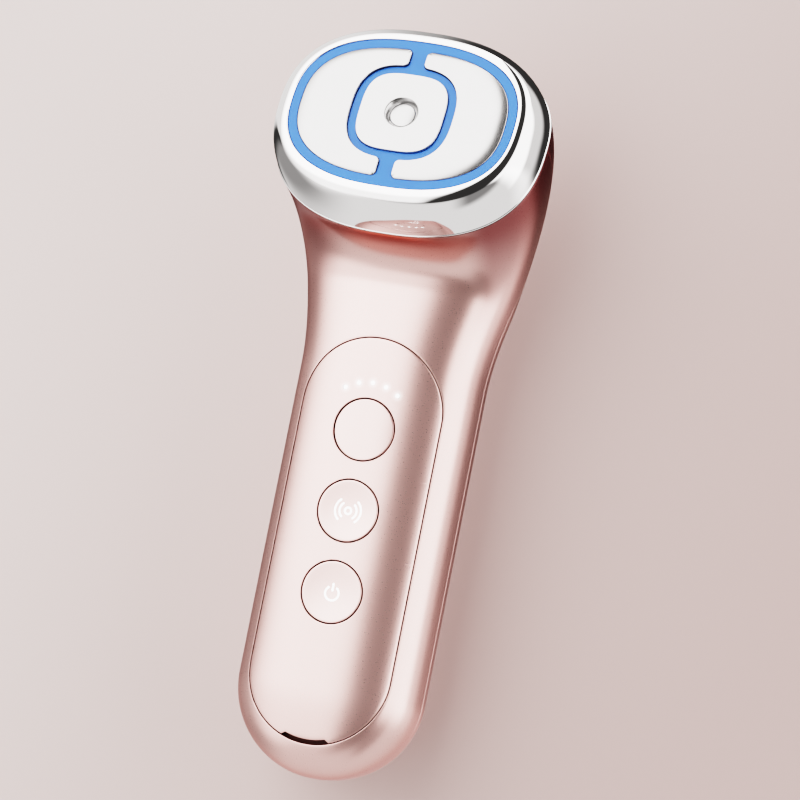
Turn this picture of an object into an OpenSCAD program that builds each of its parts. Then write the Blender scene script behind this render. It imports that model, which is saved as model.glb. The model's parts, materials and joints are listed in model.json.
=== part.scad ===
// Facial toning device: a hand-held wand with a three-button panel and a tilted electrode head.
// Design frame: the foot's tip is at y = 0, the head lies towards +y, the panel faces +z,
// and z = 0 is the plane where the handle is widest. stand() moves it to the resting frame.

/* [Handle] */
// Width of the handle
handle_w = 37.8; // [36:0.2:42]
// Depth from the widest plane to the front surface
front_depth = 13.9; // [13:0.1:15]
// Depth from the widest plane to the crown of the back, before its flat is cut
back_depth = 16; // [15.4:0.1:18]
// How far the resting flat is cut into the back's crown
rest_cut = 0.4; // [0.2:0.05:0.7]
// Superellipse exponent of the handle's section
handle_power = 2.75; // [2.4:0.05:3.2]
// Exponent that rounds the foot in the side view
foot_power = 2.6; // [2.2:0.1:3.2]
// Wall thickness of both shells
wall = 2.2; // [1.8:0.1:2.4]
// Where the handle starts to widen into the neck
neck_start = 82.8; // [78:0.5:86]
// How far behind the widest line the seam runs along the handle
seam_drop = 2; // [1:0.1:3]
// How far behind the widest line the seam runs half way round the neck
seam_sag = 4.6; // [2:0.1:5]

/* [Head] */
// Distance from the foot's tip to the centre of the electrode face
face_y = 132.4; // [131:0.2:138]
// Height of the electrode face's centre over the widest plane
face_z = 30.4; // [29:0.2:32]
// Tilt of the face away from the panel's direction
face_tilt = 18.2; // [15:0.2:21]
// Width of the face opening in the bezel
opening_w = 45.9; // [44:0.1:47]
// Height of the face opening in the bezel
opening_h = 33; // [32:0.1:34]
// Width of the bezel's rim at each side of the opening
rim_side = 3.25; // [2.8:0.05:3.8]
// Height of the bezel's rim at each end of the opening, on average
rim_end = 3.1; // [2.8:0.05:3.6]
// Depth of the rounded rim
rim_depth = 2.2; // [1.8:0.1:2.8]
// How far the skirt flares at each side, from the rim to its lower edge
flare_side = 1.6; // [1.2:0.05:2.2]
// How far the skirt flares towards the handle
flare_near = 2.56; // [2.2:0.02:3]
// How far the skirt flares away from the handle
flare_far = 0.94; // [0.6:0.02:1.6]
// Depth of the bezel from the face plane to its lower edge
skirt_depth = 10; // [9:0.1:11.5]
// Distance from the face axis to the line that the neck bends about
bend_reach = 30.35; // [29.6:0.1:32]
// Wall thickness of the bezel
bezel_wall = 1.5; // [1.2:0.1:1.8]
// Thickness of the gasket between the bezel and the shells
gasket_t = 0.5; // [0.3:0.1:0.8]

/* [Electrodes] */
// Width of the blue ring at each side of the face
ring_side = 1.85; // [1.5:0.05:2.4]
// Width of the blue ring at each end of the face
ring_end = 2; // [1.6:0.05:2.4]
// Width of the centre electrode
centre_w = 17.4; // [16.6:0.1:18]
// Width of the blue ring round the centre electrode
centre_ring = 1.8; // [1.4:0.05:2.2]
// Width of the blue links between the side electrodes
link_w = 3.2; // [2.4:0.1:4]
// How far the electrodes stand proud of the insulator
electrode_proud = 0.5; // [0.3:0.05:0.7]
// Depth of the electrodes' pockets in the insulator
pocket_depth = 0.9; // [0.7:0.05:1.1]
// Diameter of the dimple over the sensor disc
dimple_d = 6.5; // [6:0.1:7]
// Depth of the dimple
dimple_depth = 1; // [0.8:0.05:1.2]
// Diameter of the sensor disc
disc_d = 5.1; // [4.6:0.1:5.4]
// Thickness of the sensor disc
disc_t = 0.9; // [0.7:0.1:1.1]

/* [Panel] */
// Width of the control panel
panel_w = 29.4; // [28.6:0.2:30]
// Distance from the foot's tip to the panel's lower end
panel_start = 6.4; // [6:0.1:8]
// Length of the control panel
panel_l = 83.1; // [82:0.2:84]
// Thickness of the control panel
panel_t = 1.1; // [0.9:0.05:1.3]
// Gap round the panel
panel_gap = 0.15; // [0.1:0.01:0.25]
// Thickness of the adhesive tape that the panel lies on
tape_t = 0.1; // [0.08:0.01:0.2]
// Width of the notch in the panel's lower edge
notch_w = 9.6; // [7:0.2:11]
// Depth of the notch in the panel's lower edge
notch_depth = 0.8; // [0.5:0.05:1]

/* [Buttons] */
// Diameter of a button
button_d = 12.4; // [11.6:0.1:12.8]
// Gap round a button
button_gap = 0.25; // [0.2:0.01:0.35]
// Distance from the foot's tip to the lowest button
first_button = 37.7; // [36:0.1:38]
// Distance between the buttons' centres
button_pitch = 16.55; // [16:0.05:17]
// Travel of a button
button_travel = 0.4; // [0.2:0.05:0.5]
// Depth of the dished top of a button
button_dish = 0.3; // [0.1:0.05:0.4]
// Diameter of a level light
light_d = 1.2; // [1:0.1:1.5]
// Radius of the arc of level lights, about the top button
light_arc_r = 9.6; // [9.2:0.1:10]
// Angle between neighbouring level lights
light_step = 17.5; // [15:0.5:19]

/* [Electronics] */
// Height of the main board's underside over the widest plane
board_z = 5; // [4.6:0.1:5.2]
// Thickness of every circuit board
board_t = 1.6; // [1.2:0.1:1.6]
// Width of the main board
board_w = 27; // [25.6:0.2:28]
// Height of a push switch's body
switch_h = 2; // [1.6:0.1:2.2]
// Diameter of the battery cell
cell_d = 14.2; // [14:0.1:14.5]
// Length of the battery cell
cell_l = 50; // [47:0.5:51]
// Width of the charging socket's shell
socket_w = 8.94; // [8.8:0.02:9.1]
// Height of the charging socket's shell
socket_h = 3.26; // [3.16:0.02:3.4]
// Diameter of the vibration motor
motor_d = 8; // [7:0.1:8.4]
// Length of the vibration motor
motor_l = 14; // [12:0.5:15]
// Radius of the motor's eccentric weight
weight_r = 4.4; // [3.6:0.1:4.8]
// Diameter of the motor's shaft
shaft_d = 1.5; // [1:0.1:2]

/* [Fits] */
// Clearance between parts that seat in one another
fit = 0.1; // [0.05:0.01:0.2]
// Running clearance of a shaft or plunger, on the radius
running = 0.04; // [0.02:0.01:0.08]

/* [Hidden] */

// Colours
rose = [0.80, 0.64, 0.61];
rose_panel = [0.86, 0.72, 0.69];
chrome = [0.82, 0.83, 0.84];
steel = [0.86, 0.86, 0.86];
blue = [0.13, 0.53, 0.86];
board_green = [0.10, 0.36, 0.22];
chip_black = [0.12, 0.12, 0.13];
brass = [0.80, 0.66, 0.35];
white = [0.94, 0.93, 0.92];
rubber = [0.25, 0.24, 0.25];

// Fineness
ring_steps = 26;      // facets across each shell
foot_steps = 7;       // stations round the foot
handle_steps = 3;     // stations along the straight handle
flare_steps = 4;      // stations along the start of the neck
bend_steps = 12;      // stations round the neck's bend
outline_steps = 72;   // points of each head outline
round_fn = 48;        // circles
blend_fn = 24;        // rounded corners of the electrodes
foot_first = 5;       // angle of the first station round the foot
panel_steps = 14;     // facets across the panel

// Places on the handle
half_w = handle_w/2;
rest_depth = back_depth - rest_cut;
button_ys = [for (k = [0:2]) first_button + k*button_pitch];
level_y = button_ys[2];
mode_y = button_ys[1];
power_y = button_ys[0];
panel_r = panel_w/2;
panel_end = panel_start + panel_l;
panel_low_y = panel_start + panel_r;
panel_high_y = panel_end - panel_r;

// Head outlines: [half width, near half height, far half height, shift, exponent]
face_power = 2.51;
rim_power = 2.42;
skirt_power = 2.45;
pair_power = 2.55;
centre_power = 3.2;
hole_power = 2.77;
rim_shift = 0.46;
skirt_shift = 1.9;
opening = [opening_w/2, opening_h/2, opening_h/2, 0, face_power];
rim = [opening_w/2 + rim_side, opening_h/2 + rim_end, opening_h/2 + rim_end, rim_shift, rim_power];
skirt = [
    rim[0] + flare_side,
    rim[1] - rim_shift + flare_near + skirt_shift,
    rim[2] + rim_shift + flare_far - skirt_shift,
    skirt_shift, skirt_power
];
side_pair = [opening_w/2 - ring_side, opening_h/2 - ring_end, opening_h/2 - ring_end, 0, pair_power];
centre = [centre_w/2, centre_w/2, centre_w/2, 0, centre_power];
centre_hole = [for (k = [0:4]) k < 3 ? centre[k] + centre_ring : k == 3 ? 0 : hole_power];

// The neck bends about a line across the head's junction plane
junction_depth = skirt_depth + gasket_t;
bend_angle = 90 - face_tilt;
bend_y = face_y - junction_depth*sin(face_tilt) - bend_reach*cos(face_tilt);
bend_z = face_z - junction_depth*cos(face_tilt) + bend_reach*sin(face_tilt);
shell_step = 0.1;     // the shells' mouth lies this far inside the bezel's edge
mouth = grow(skirt, -shell_step);
flare_arc = 33;       // length along the bend over which the neck widens

// Head stack, as depths below the face plane
lip_t = 1.3;          // the bezel's lip over the insulator
rim_rise = 0.25;      // crest of the bezel's rim over the face plane
crest_in = 0.8;       // the crest lies this far outside the opening
swell_side = 0.35;    // the bezel's flare swells by this much half-way down
swell_end = 0.7;
swell_steps = 4;
flange_grow = 0.8;    // the insulator's flange reaches this far past the opening
insulator_d = 3;      // underside of the insulator
carrier_d = 5.6;      // underside of the carrier's plate
spigot_d = 13;        // end of the carrier's spigot, inside the neck
spigot_wall = 1.5;
driver_d = 7.2;       // top of the driver board
driver_w = 26.8;
driver_post = driver_w/2 - 3.9;    // driver board's posts, from the face axis
head_screw_x = 16;    // head screws, from the face axis
head_screw_vs = [-8, 9];
head_screw_r = 1;
head_screw_l = 10;
head_screw_head_r = 1.8;
head_screw_head_h = 1.3;
head_screw_seat = insulator_d + head_screw_head_h + 0.2;
head_boss_r = 2.2;
head_rib_t = 1.4;     // ribs that tie the head bosses to the neck's wall
head_rib_top = junction_depth + 0.4;
head_rib_end = junction_depth + 5.5;
head_boss_d = 17;     // end of the head bosses
pin_r = 0.4;
pin_barrel_r = 0.75;
pin_x = driver_w/2 - pin_barrel_r - 0.05;
pin_spots = [[-pin_x, 0], [pin_x, 0], [0, -6]];    // spring pins, one under each electrode
pin_barrel_top = 4.2;
sensor_r = 1.1;
sensor_l = 2;
sensor_d = dimple_depth - electrode_proud;
corner_r = 1;         // corners of the side electrodes

// Places inside the handle
hole_r = button_d/2 + button_gap;
flange_r = button_d/2 + 0.9;
flange_t = 0.8;
seat_gap = 0.15;      // between a moving or glued part and the shell above it
flange_z = front_z(flange_r, mode_y, wall) - seat_gap;
button_z = front_z(button_d*0.35, mode_y, 0);
plunger_r = 1.6;
plunger_in = 0.6;     // length of a plunger inside its switch
dome_gap = 0.1;       // under a pressed plunger
switch_w = 6;
board_top = board_z + board_t;
board_start = 10.5;
board_end = 88;
big_chip = 7;
small_chip = 4.4;
chip_t = 0.9;
inductor_t = 2;
chip_x = 6;
coil_r = 4.2;
coil_h = 4;
coil_hole_r = 1.2;
boss_x = 11;
boss_r = 2.2;
boss_ys = [(power_y + mode_y)/2, (mode_y + level_y)/2];
boss_drop = 0.7;      // the bosses' tops lie this far inside the front surface
screw_r = 0.8;        // small screws
screw_l = 4.6;
screw_head_r = 1.5;
screw_head_h = 1.2;
small_post_r = 1.8;   // posts that the small boards are screwed to
pilot_l = screw_l + 0.4;
light_r = light_d/2;
light_gap = 0.05;
light_xy = [for (k = [-2:2]) [light_arc_r*sin(k*light_step), level_y + light_arc_r*cos(k*light_step)]];
led = [1.6, 0.8, 0.7];
light_floor = board_top + led.z + 0.2;
inner_back = rest_depth - wall;
cradle_t = 0.8;
base_z = seat_gap - inner_back;
cell_y = 22;
cell_z = base_z + cradle_t + cell_d/2;
seam_tab_ys = [32, 52, 72];    // tabs that line the two shells up
seam_tab_t = 1;
seam_tab_l = 8;
seam_tab_x = half_w - wall - seam_tab_t/2 - 3*fit;
seam_tab_top = 0.8;
seam_tab_h = back_depth*0.42;
strap_t = 0.3;        // the battery's nickel straps
strap_w = 5;
strap_drop = 2.5;
socket_y = 1;
socket_l = 7.35;
socket_wall = 0.3;
socket_back = 0.9;    // thickness of the socket's closed end
tongue_w = 6.7;
tongue_t = 0.7;
port_reach = 6;       // the port is cut this deep from in front of the foot
seal_t = 0.8;
seal_l = 2.8;
charge_top = -socket_h/2;
charge_w = 13;
charge_start = 5;
charge_end = 17;
charge_screw = [4.7, 12.5];
connector = [7, 2];
motor_y = cell_y + cell_l + 4;
sleeve_t = 1.2;
motor_z = base_z + sleeve_t + motor_d/2;
shaft_in = 8;
shaft_out = 8;
weight_y = motor_y + motor_l + 1.5;
weight_l = 4.5;
hub_r = shaft_d/2 + 0.8;
bearing_gap = 0.5;    // behind the shaft's end

// Ends of the part along y: the foot's tip and the foot of the bezel's rim
foot_tip = half_w*(1 - cos(foot_first));
head_tip = max([for (p = outline(rim)) face_y + p.y*cos(face_tilt) - rim_depth*sin(face_tilt)]);
middle_y = (foot_tip + head_tip)/2;

function sgn_pow(v, p) = sign(v)*pow(abs(v), p);
function clamp01(v) = min(1, max(0, v));
function ease(t) = let (u = clamp01(t)) u*u*(3 - 2*u);
function mix(a, b, t) = a + (b - a)*t;
function grow(o, d) = [o[0] + d, o[1] + d, o[2] + d, o[3], o[4]];

// Points of a head outline, in the plane of the face
function outline(o) = [
    for (k = [0:outline_steps - 1])
        let (t = 360*k/outline_steps, s = sin(t))
            [o[0]*sgn_pow(cos(t), 2/o[4]), o[3] + (s > 0 ? o[2] : o[1])*sgn_pow(s, 2/o[4])]
];

// A station along the body: [angle round the foot, y on the straight part, angle round the bend]
stations = concat(
    [for (k = [0:foot_steps]) [mix(foot_first, 90, k/foot_steps), half_w, 0]],
    [for (k = [1:handle_steps]) [90, mix(half_w, neck_start, k/handle_steps), 0]],
    [for (k = [1:flare_steps]) [90, mix(neck_start, bend_y, k/flare_steps), 0]],
    [for (k = [1:bend_steps]) [90, bend_y, bend_angle*k/bend_steps]]
);

// Half width of the body at a station
function half_width(st) = mix(half_w, mouth[0],
    ease((st[1] + flare_arc*st[2]/bend_angle - neck_start)/(bend_y + flare_arc - neck_start)));
// Scale of the section's depth round the foot
function foot_depth(q) = pow(1 - pow(cos(q), foot_power), 1/foot_power);
// Exponent of the section
function power(st) = mix(handle_power, skirt_power, ease(st[2]/bend_angle));
// Section at a station and inset: [near depth, middle radius, far depth] about the bend line
function section(st, inset) =
    let (t = ease(st[2]/bend_angle), k = foot_depth(st[0]),
         mid = mix(bend_z, bend_reach + skirt_shift, t),
         near = mix(front_depth, mouth[1], t), far = mix(back_depth, mouth[2], t))
    [(near - inset)*k, mid, (far - inset)*k];
// A point of the surface at a station: h is the height over the widest line, side is -1 or 1
function skin_point(st, inset, angle) =
    let (n = power(st), sec = section(st, inset), s = sin(angle),
         x = (half_width(st) - inset)*sin(st[0])*sgn_pow(cos(angle), 2/n),
         r = sec[1] - (s > 0 ? sec[0] : sec[2])*sgn_pow(s, 2/n),
         floor_r = (bend_z + rest_depth - inset)/cos(st[2]),
         radius = min(r, floor_r),
         y = st[0] < 90 ? half_w - (half_w - inset)*cos(st[0]) : st[1])
    [x, y + radius*sin(st[2]), bend_z - radius*cos(st[2])];
// Ring angle at which the seam leaves the surface
function seam_angle(st, inset) =
    let (t = st[2]/bend_angle, sec = section(st, inset),
         drop = (seam_drop*(1 - t) + (seam_sag - seam_drop/2)*sin(180*t))*foot_depth(st[0]))
    -asin(pow(drop/sec[2], power(st)/2));
// Front skin of the straight handle over a point
function front_z(x, y, inset) =
    let (u = clamp01((half_w - y)/(half_w - inset)),
         w = (half_width([90, y, 0]) - inset)*sqrt(1 - u*u),
         d = (front_depth - inset)*pow(1 - pow(u, foot_power), 1/foot_power))
    d*pow(max(0, 1 - pow(abs(x)/w, handle_power)), 1/handle_power);

// Triangles between two neighbouring rows of points
function strip(a, b, count, closed) = [
    for (j = [0:count - (closed ? 1 : 2)])
        let (k = (j + 1)%count)
            each [[a + j, a + k, b + k], [a + j, b + k, b + j]]
];

// One half of the case: an outer and an inner skin between the seam's two sides
module case_half(front) {
    m = ring_steps;
    loop = 2*(m + 1);
    function arc(st, inset) =
        let (a = seam_angle(st, inset), from = front ? a : 180 - a, to = front ? 180 - a : 360 + a)
            [for (j = [0:m]) skin_point(st, inset, mix(from, to, j/m))];
    function reversed(v) = [for (j = [len(v) - 1:-1:0]) v[j]];
    points = [for (st = stations) each concat(arc(st, 0), reversed(arc(st, wall)))];
    last = (len(stations) - 1)*loop;
    sides = [for (i = [0:len(stations) - 2]) each strip(i*loop, (i + 1)*loop, loop, true)];
    foot = concat(
        [for (j = [1:m - 1]) [0, j + 1, j]],
        [for (j = [1:m - 1]) [m + 1, m + 1 + j + 1, m + 1 + j]],
        [[0, m + 1, m], [0, loop - 1, m + 1]]
    );
    mouth_face = [
        for (j = [0:m - 1])
            let (a = last + j, b = last + loop - 1 - j)
                each [[a, a + 1, b - 1], [a, b - 1, b]]
    ];
    polyhedron(points = points, faces = concat(sides, foot, mouth_face), convexity = 6);
}

// The control panel's outline, grown by a gap, as a crowned plate under the front surface
module panel_plate(grown, top_inset, thickness) {
    r = panel_r + grown;
    m = panel_steps;
    end_rows = 9;
    middle_rows = 3;
    first = 4;    // angle of the first row round an end
    ys = concat(
        [for (k = [0:end_rows]) panel_low_y - r*cos(mix(first, 90, k/end_rows))],
        [for (k = [1:middle_rows]) mix(panel_low_y, panel_high_y, k/(middle_rows + 1))],
        [for (k = [0:end_rows]) panel_high_y + r*sin(mix(0, 90 - first, k/end_rows))]
    );
    n = len(ys);
    size = n*(m + 1);
    function half_at(y) =
        let (d = y < panel_low_y ? panel_low_y - y : max(0, y - panel_high_y))
            sqrt(max(0, r*r - d*d));
    function skin(inset) = [
        for (y = ys) for (j = [0:m])
            let (x = half_at(y)*sin(mix(-90, 90, j/m))) [x, y, front_z(x, y, 0) - inset]
    ];
    sheet = [for (i = [0:n - 2]) each strip(i*(m + 1), (i + 1)*(m + 1), m + 1, false)];
    edge = concat(
        [for (j = [0:m - 1]) j],
        [for (i = [0:n - 2]) i*(m + 1) + m],
        [for (j = [m:-1:1]) (n - 1)*(m + 1) + j],
        [for (i = [n - 1:-1:1]) i*(m + 1)]
    );
    top = [for (t = sheet) [t[2], t[1], t[0]]];
    under = [for (t = sheet) [size + t[0], size + t[1], size + t[2]]];
    walls = [
        for (k = [0:len(edge) - 1])
            let (a = edge[k], b = edge[(k + 1)%len(edge)])
                each [[b, size + b, a], [size + b, size + a, a]]
    ];
    polyhedron(points = concat(skin(top_inset), skin(top_inset + thickness)),
        faces = concat(top, under, walls), convexity = 4);
}

// Children placed in the head's frame: +z leaves the face, +y points away from the handle
module in_head() translate([0, face_y, face_z]) rotate([-face_tilt, 0, 0]) children();
// Children laid down in the resting frame: the flat of the back on z = 0, the length centred
module stand() translate([0, -middle_y, rest_depth]) children();
// Children turned so that their +z runs along the handle, towards the head
module along_y(y, z) translate([0, y, z]) rotate([-90, 0, 0]) children();
// A plate of an outline between two depths below the face
module plate(o, from, to) translate([0, 0, -to]) linear_extrude(to - from) polygon(outline(o));
module stadium(w, h) {
    square([w - h, h], center = true);
    for (side = [-1, 1]) translate([side*(w - h)/2, 0]) circle(d = h, $fn = round_fn);
}
module post(r, from, to) translate([0, 0, from]) cylinder(r = r, h = to - from, $fn = round_fn);
module at_head_screws(v) for (side = [-1, 1]) translate([side*head_screw_x, v, 0]) children();
module screw(r, shank_l, head_r, head_h) {
    post(r, -shank_l, 0);
    post(head_r, 0, head_h);
}

// Boss for a head screw, with the rib that ties it to the neck's wall
module head_bosses(v) {
    depth = v < skirt_shift ? mouth[1] : mouth[2];
    reach = mouth[0]*pow(1 - pow(abs(v - skirt_shift)/depth, skirt_power), 1/skirt_power) - wall/2;
    for (side = [-1, 1]) {
        translate([side*head_screw_x, v, 0]) post(head_boss_r, -head_boss_d, -carrier_d);
        translate([side*(head_screw_x + reach)/2, v, -(head_rib_top + head_rib_end)/2])
            cube([reach - head_screw_x, head_rib_t, head_rib_end - head_rib_top], center = true);
    }
}
module head_pilots(v) at_head_screws(v)
    post(head_screw_r, -head_screw_seat - head_screw_l - 0.4, -carrier_d + 1);
module port_opening() along_y(-1, 0) linear_extrude(port_reach)
    stadium(socket_w + 2*seal_t, socket_h + 2*seal_t);
module at_buttons() for (y = button_ys) translate([0, y, 0]) children();
module at_lights() for (p = light_xy) translate([p.x, p.y, 0]) children();
module at_bosses() for (y = boss_ys, side = [-1, 1]) translate([side*boss_x, y, 0]) children();
boss_top = front_z(boss_x + boss_r, mode_y, 0) - boss_drop;

module front_shell() color(rose) difference() {
    union() {
        case_half(true);
        at_bosses() post(boss_r, board_top, boss_top);
        in_head() head_bosses(head_screw_vs[0]);
    }
    panel_plate(panel_gap, -5, 5 + panel_t + tape_t);
    at_buttons() post(hole_r, board_top, front_depth + 1);
    at_lights() post(light_r + light_gap, board_top, front_depth + 1);
    at_bosses() post(screw_r, board_z, board_z + pilot_l);
    in_head() head_pilots(head_screw_vs[0]);
    port_opening();
}

// The back shell carries the seam's locating tabs and the charging board's posts
module back_shell() color(rose) difference() {
    union() {
        case_half(false);
        for (side = [-1, 1]) {
            for (y = seam_tab_ys) translate([side*seam_tab_x, y, (seam_tab_top - seam_tab_h)/2])
                cube([seam_tab_t, seam_tab_l, seam_tab_top + seam_tab_h], center = true);
            translate([side*charge_screw.x, charge_screw.y, 0])
                post(small_post_r, -inner_back - wall/2, charge_top - board_t);
        }
        in_head() head_bosses(head_screw_vs[1]);
    }
    for (side = [-1, 1])
        translate([side*charge_screw.x, charge_screw.y, 0])
            post(screw_r, charge_top - pilot_l, charge_top);
    in_head() head_pilots(head_screw_vs[1]);
    port_opening();
}

module control_panel() color(rose_panel) difference() {
    panel_plate(0, 0, panel_t);
    at_buttons() post(hole_r, board_top, front_depth + 1);
    at_lights() post(light_r + light_gap, board_top, front_depth + 1);
    // notch along the lower edge
    intersection() {
        translate([0, panel_low_y, 0]) difference() {
            post(panel_r + 2, board_top, front_depth + 1);
            post(panel_r - notch_depth, board_top - 1, front_depth + 2);
        }
        translate([-notch_w/2, 0, board_top]) cube([notch_w, panel_low_y, front_depth]);
    }
}

// A button: dished cap, skirt through the panel, and the flange that keeps it in
module button(y) {
    r = button_d/2;
    edge = 0.15;
    land = 0.35;    // flat ring round the dish
    dish_r = r - land;
    dish_steps = 6;
    under = flange_z - flange_t;
    translate([0, y, 0]) rotate_extrude($fn = round_fn) polygon(concat(
        [[0, under], [flange_r, under], [flange_r, flange_z], [r, flange_z], [r, button_z - edge]],
        [[r - edge, button_z]],
        [for (k = [dish_steps:-1:0]) let (u = k/dish_steps) [dish_r*u, button_z - button_dish*(1 - u*u)]]
    ));
}
module level_button() color(rose_panel) button(level_y);
module mode_button() color(rose_panel) button(mode_y);
module power_button() color(rose_panel) button(power_y);

// The push switch's plunger, which the button rests on
module plunger(y) translate([0, y, 0])
    post(plunger_r, board_top + switch_h - plunger_in, flange_z - flange_t);
module level_plunger() color(white) plunger(level_y);
module mode_plunger() color(white) plunger(mode_y);
module power_plunger() color(white) plunger(power_y);
module switch_bodies() color(chip_black) at_buttons() difference() {
    translate([-switch_w/2, -switch_w/2, board_top]) cube([switch_w, switch_w, switch_h]);
    post(plunger_r + running, board_top + switch_h - plunger_in - button_travel - dome_gap,
        board_top + switch_h + 1);
}

// Clear moulding: five light pipes on an arched bar under the shell
module light_guide() color(white) {
    bar_half = 0.6;
    bar_t = 0.9;
    ends = 4;    // angle of the bar past the outer pipes
    span = 4*light_step + 2*ends;
    bar_top = front_z((light_arc_r + bar_half)*sin(span/2), level_y, wall) - seat_gap;
    union() {
        translate([0, level_y, bar_top - bar_t]) rotate([0, 0, 90 - span/2])
            rotate_extrude(angle = span, $fn = round_fn*2)
                translate([light_arc_r - bar_half, 0]) square([2*bar_half, bar_t]);
        for (p = light_xy) translate([p.x, p.y, 0])
            post(light_r, light_floor, front_z(p.x, p.y, 0) - light_gap/2);
    }
}
module level_leds() color(white) at_lights() translate([-led.x/2, -led.y/2, board_top]) cube(led);

module main_board() color(board_green) difference() {
    translate([0, 0, board_z]) linear_extrude(board_t) {
        translate([0, board_start + board_w/2]) circle(d = board_w, $fn = round_fn*2);
        translate([-board_w/2, board_start + board_w/2])
            square([board_w, board_end - board_start - board_w/2]);
    }
    at_bosses() post(screw_r + fit, board_z - 1, board_top + 1);
}
module chip(x, y, size, h) translate([x - size/2, y - size/2, board_z - h]) cube([size, size, h]);
module board_chips() color(chip_black) {
    chip(0, boss_ys[0], big_chip, chip_t);
    chip(chip_x, boss_ys[1], small_chip, chip_t);
    chip(-chip_x, boss_ys[1], small_chip, inductor_t);
    chip(chip_x, level_y + chip_x, small_chip, chip_t);
    chip(-chip_x, power_y - chip_x, small_chip, chip_t);
}

// Small screws: the main board's, the charging board's and the driver board's
module board_screws() color(steel) {
    at_bosses() translate([0, 0, board_z]) mirror([0, 0, 1])
        screw(screw_r, screw_l, screw_head_r, screw_head_h);
    for (side = [-1, 1]) translate([side*charge_screw.x, charge_screw.y, charge_top])
        screw(screw_r, screw_l, screw_head_r, screw_head_h);
    in_head() for (x = [-1, 1], v = [-1, 1])
        translate([x*driver_post, v*driver_post, -driver_d - board_t])
            mirror([0, 0, 1]) screw(screw_r, screw_l, screw_head_r, screw_head_h);
}

module battery_cell() color("steelblue") along_y(cell_y, cell_z) rotate_extrude($fn = round_fn) {
    r = cell_d/2;
    pole_r = 2.7;
    pole_h = 1;
    groove = 0.4;
    can_l = cell_l - pole_h;
    polygon([[0, 0], [r, 0], [r, can_l - 5.5*groove], [r - groove, can_l - 4.5*groove],
             [r - groove, can_l - 3*groove], [r, can_l - 2*groove], [r, can_l],
             [pole_r, can_l], [pole_r, cell_l], [0, cell_l]]);
}
module battery_cradle() color(white) {
    outer = cell_d/2 + 1.2;
    foot = 0.66*outer;
    foot_rise = 1.4;
    lip_drop = 1;        // the lips end this far under the cell's axis
    inset = 3;           // bare length at each end of the cell
    difference() {
        along_y(cell_y + inset, 0) linear_extrude(cell_l - 2*inset) polygon([
            [-foot, -base_z], [foot, -base_z], [outer, -base_z - foot_rise], [outer, lip_drop - cell_z],
            [-outer, lip_drop - cell_z], [-outer, -base_z - foot_rise]
        ]);
        along_y(0, cell_z) cylinder(d = cell_d, h = 2*cell_l, $fn = round_fn);
    }
}
module battery_tabs() color(steel) for (y = [cell_y - strap_t, cell_y + cell_l])
    translate([-strap_w/2, y, cell_z - strap_drop])
        cube([strap_w, strap_t, board_z - cell_z + strap_drop]);

module charge_board() color(board_green) difference() {
    translate([-charge_w/2, charge_start, charge_top - board_t])
        cube([charge_w, charge_end - charge_start, board_t]);
    for (side = [-1, 1]) translate([side*charge_screw.x, charge_screw.y, 0]) post(screw_r + fit, -9, 0);
}
module charging_socket() color(steel) along_y(socket_y, 0) {
    difference() {
        linear_extrude(socket_l) stadium(socket_w, socket_h);
        translate([0, 0, -1]) linear_extrude(socket_l + 1 - socket_back)
            stadium(socket_w - 2*socket_wall, socket_h - 2*socket_wall);
    }
    translate([-tongue_w/2, -tongue_t/2, socket_back])
        cube([tongue_w, tongue_t, socket_l - 1.5*socket_back]);
}
module socket_seal() color(rubber) along_y(socket_y, 0) linear_extrude(seal_l) difference() {
    stadium(socket_w + 2*seal_t - 2*fit, socket_h + 2*seal_t - 2*fit);
    stadium(socket_w + fit, socket_h + fit);
}
module board_connector() color(chip_black)
    translate([-connector.x/2, charge_end - 1.1*connector.y, charge_top])
        cube([connector.x, connector.y, board_z - charge_top]);

module motor_can() color(steel) difference() {
    along_y(motor_y, motor_z) cylinder(d = motor_d, h = motor_l, $fn = round_fn);
    along_y(motor_y + motor_l - shaft_in - bearing_gap, motor_z)
        cylinder(r = shaft_d/2 + running, h = motor_l, $fn = round_fn);
}
module motor_shaft() color(steel) along_y(motor_y + motor_l - shaft_in, motor_z)
    cylinder(d = shaft_d, h = shaft_in + shaft_out, $fn = round_fn);
// Half a disc on the shaft, hanging down at rest
module eccentric_weight() color(brass) along_y(weight_y, motor_z) difference() {
    union() {
        rotate_extrude(angle = 180, $fn = round_fn) square([weight_r, weight_l]);
        cylinder(r = hub_r, h = weight_l, $fn = round_fn);
    }
    translate([0, 0, -1]) cylinder(d = shaft_d, h = weight_l + 2, $fn = round_fn);
}
module motor_sleeve() color(rubber) along_y(motor_y + 2, 0) linear_extrude(motor_l - 4) difference() {
    union() {
        translate([0, -motor_z]) circle(r = motor_d/2 + sleeve_t, $fn = round_fn);
        translate([-motor_d/2 - sleeve_t, -motor_z]) square([motor_d + 2*sleeve_t, motor_z - base_z]);
    }
    translate([0, -motor_z]) circle(d = motor_d, $fn = round_fn);
}

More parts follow.
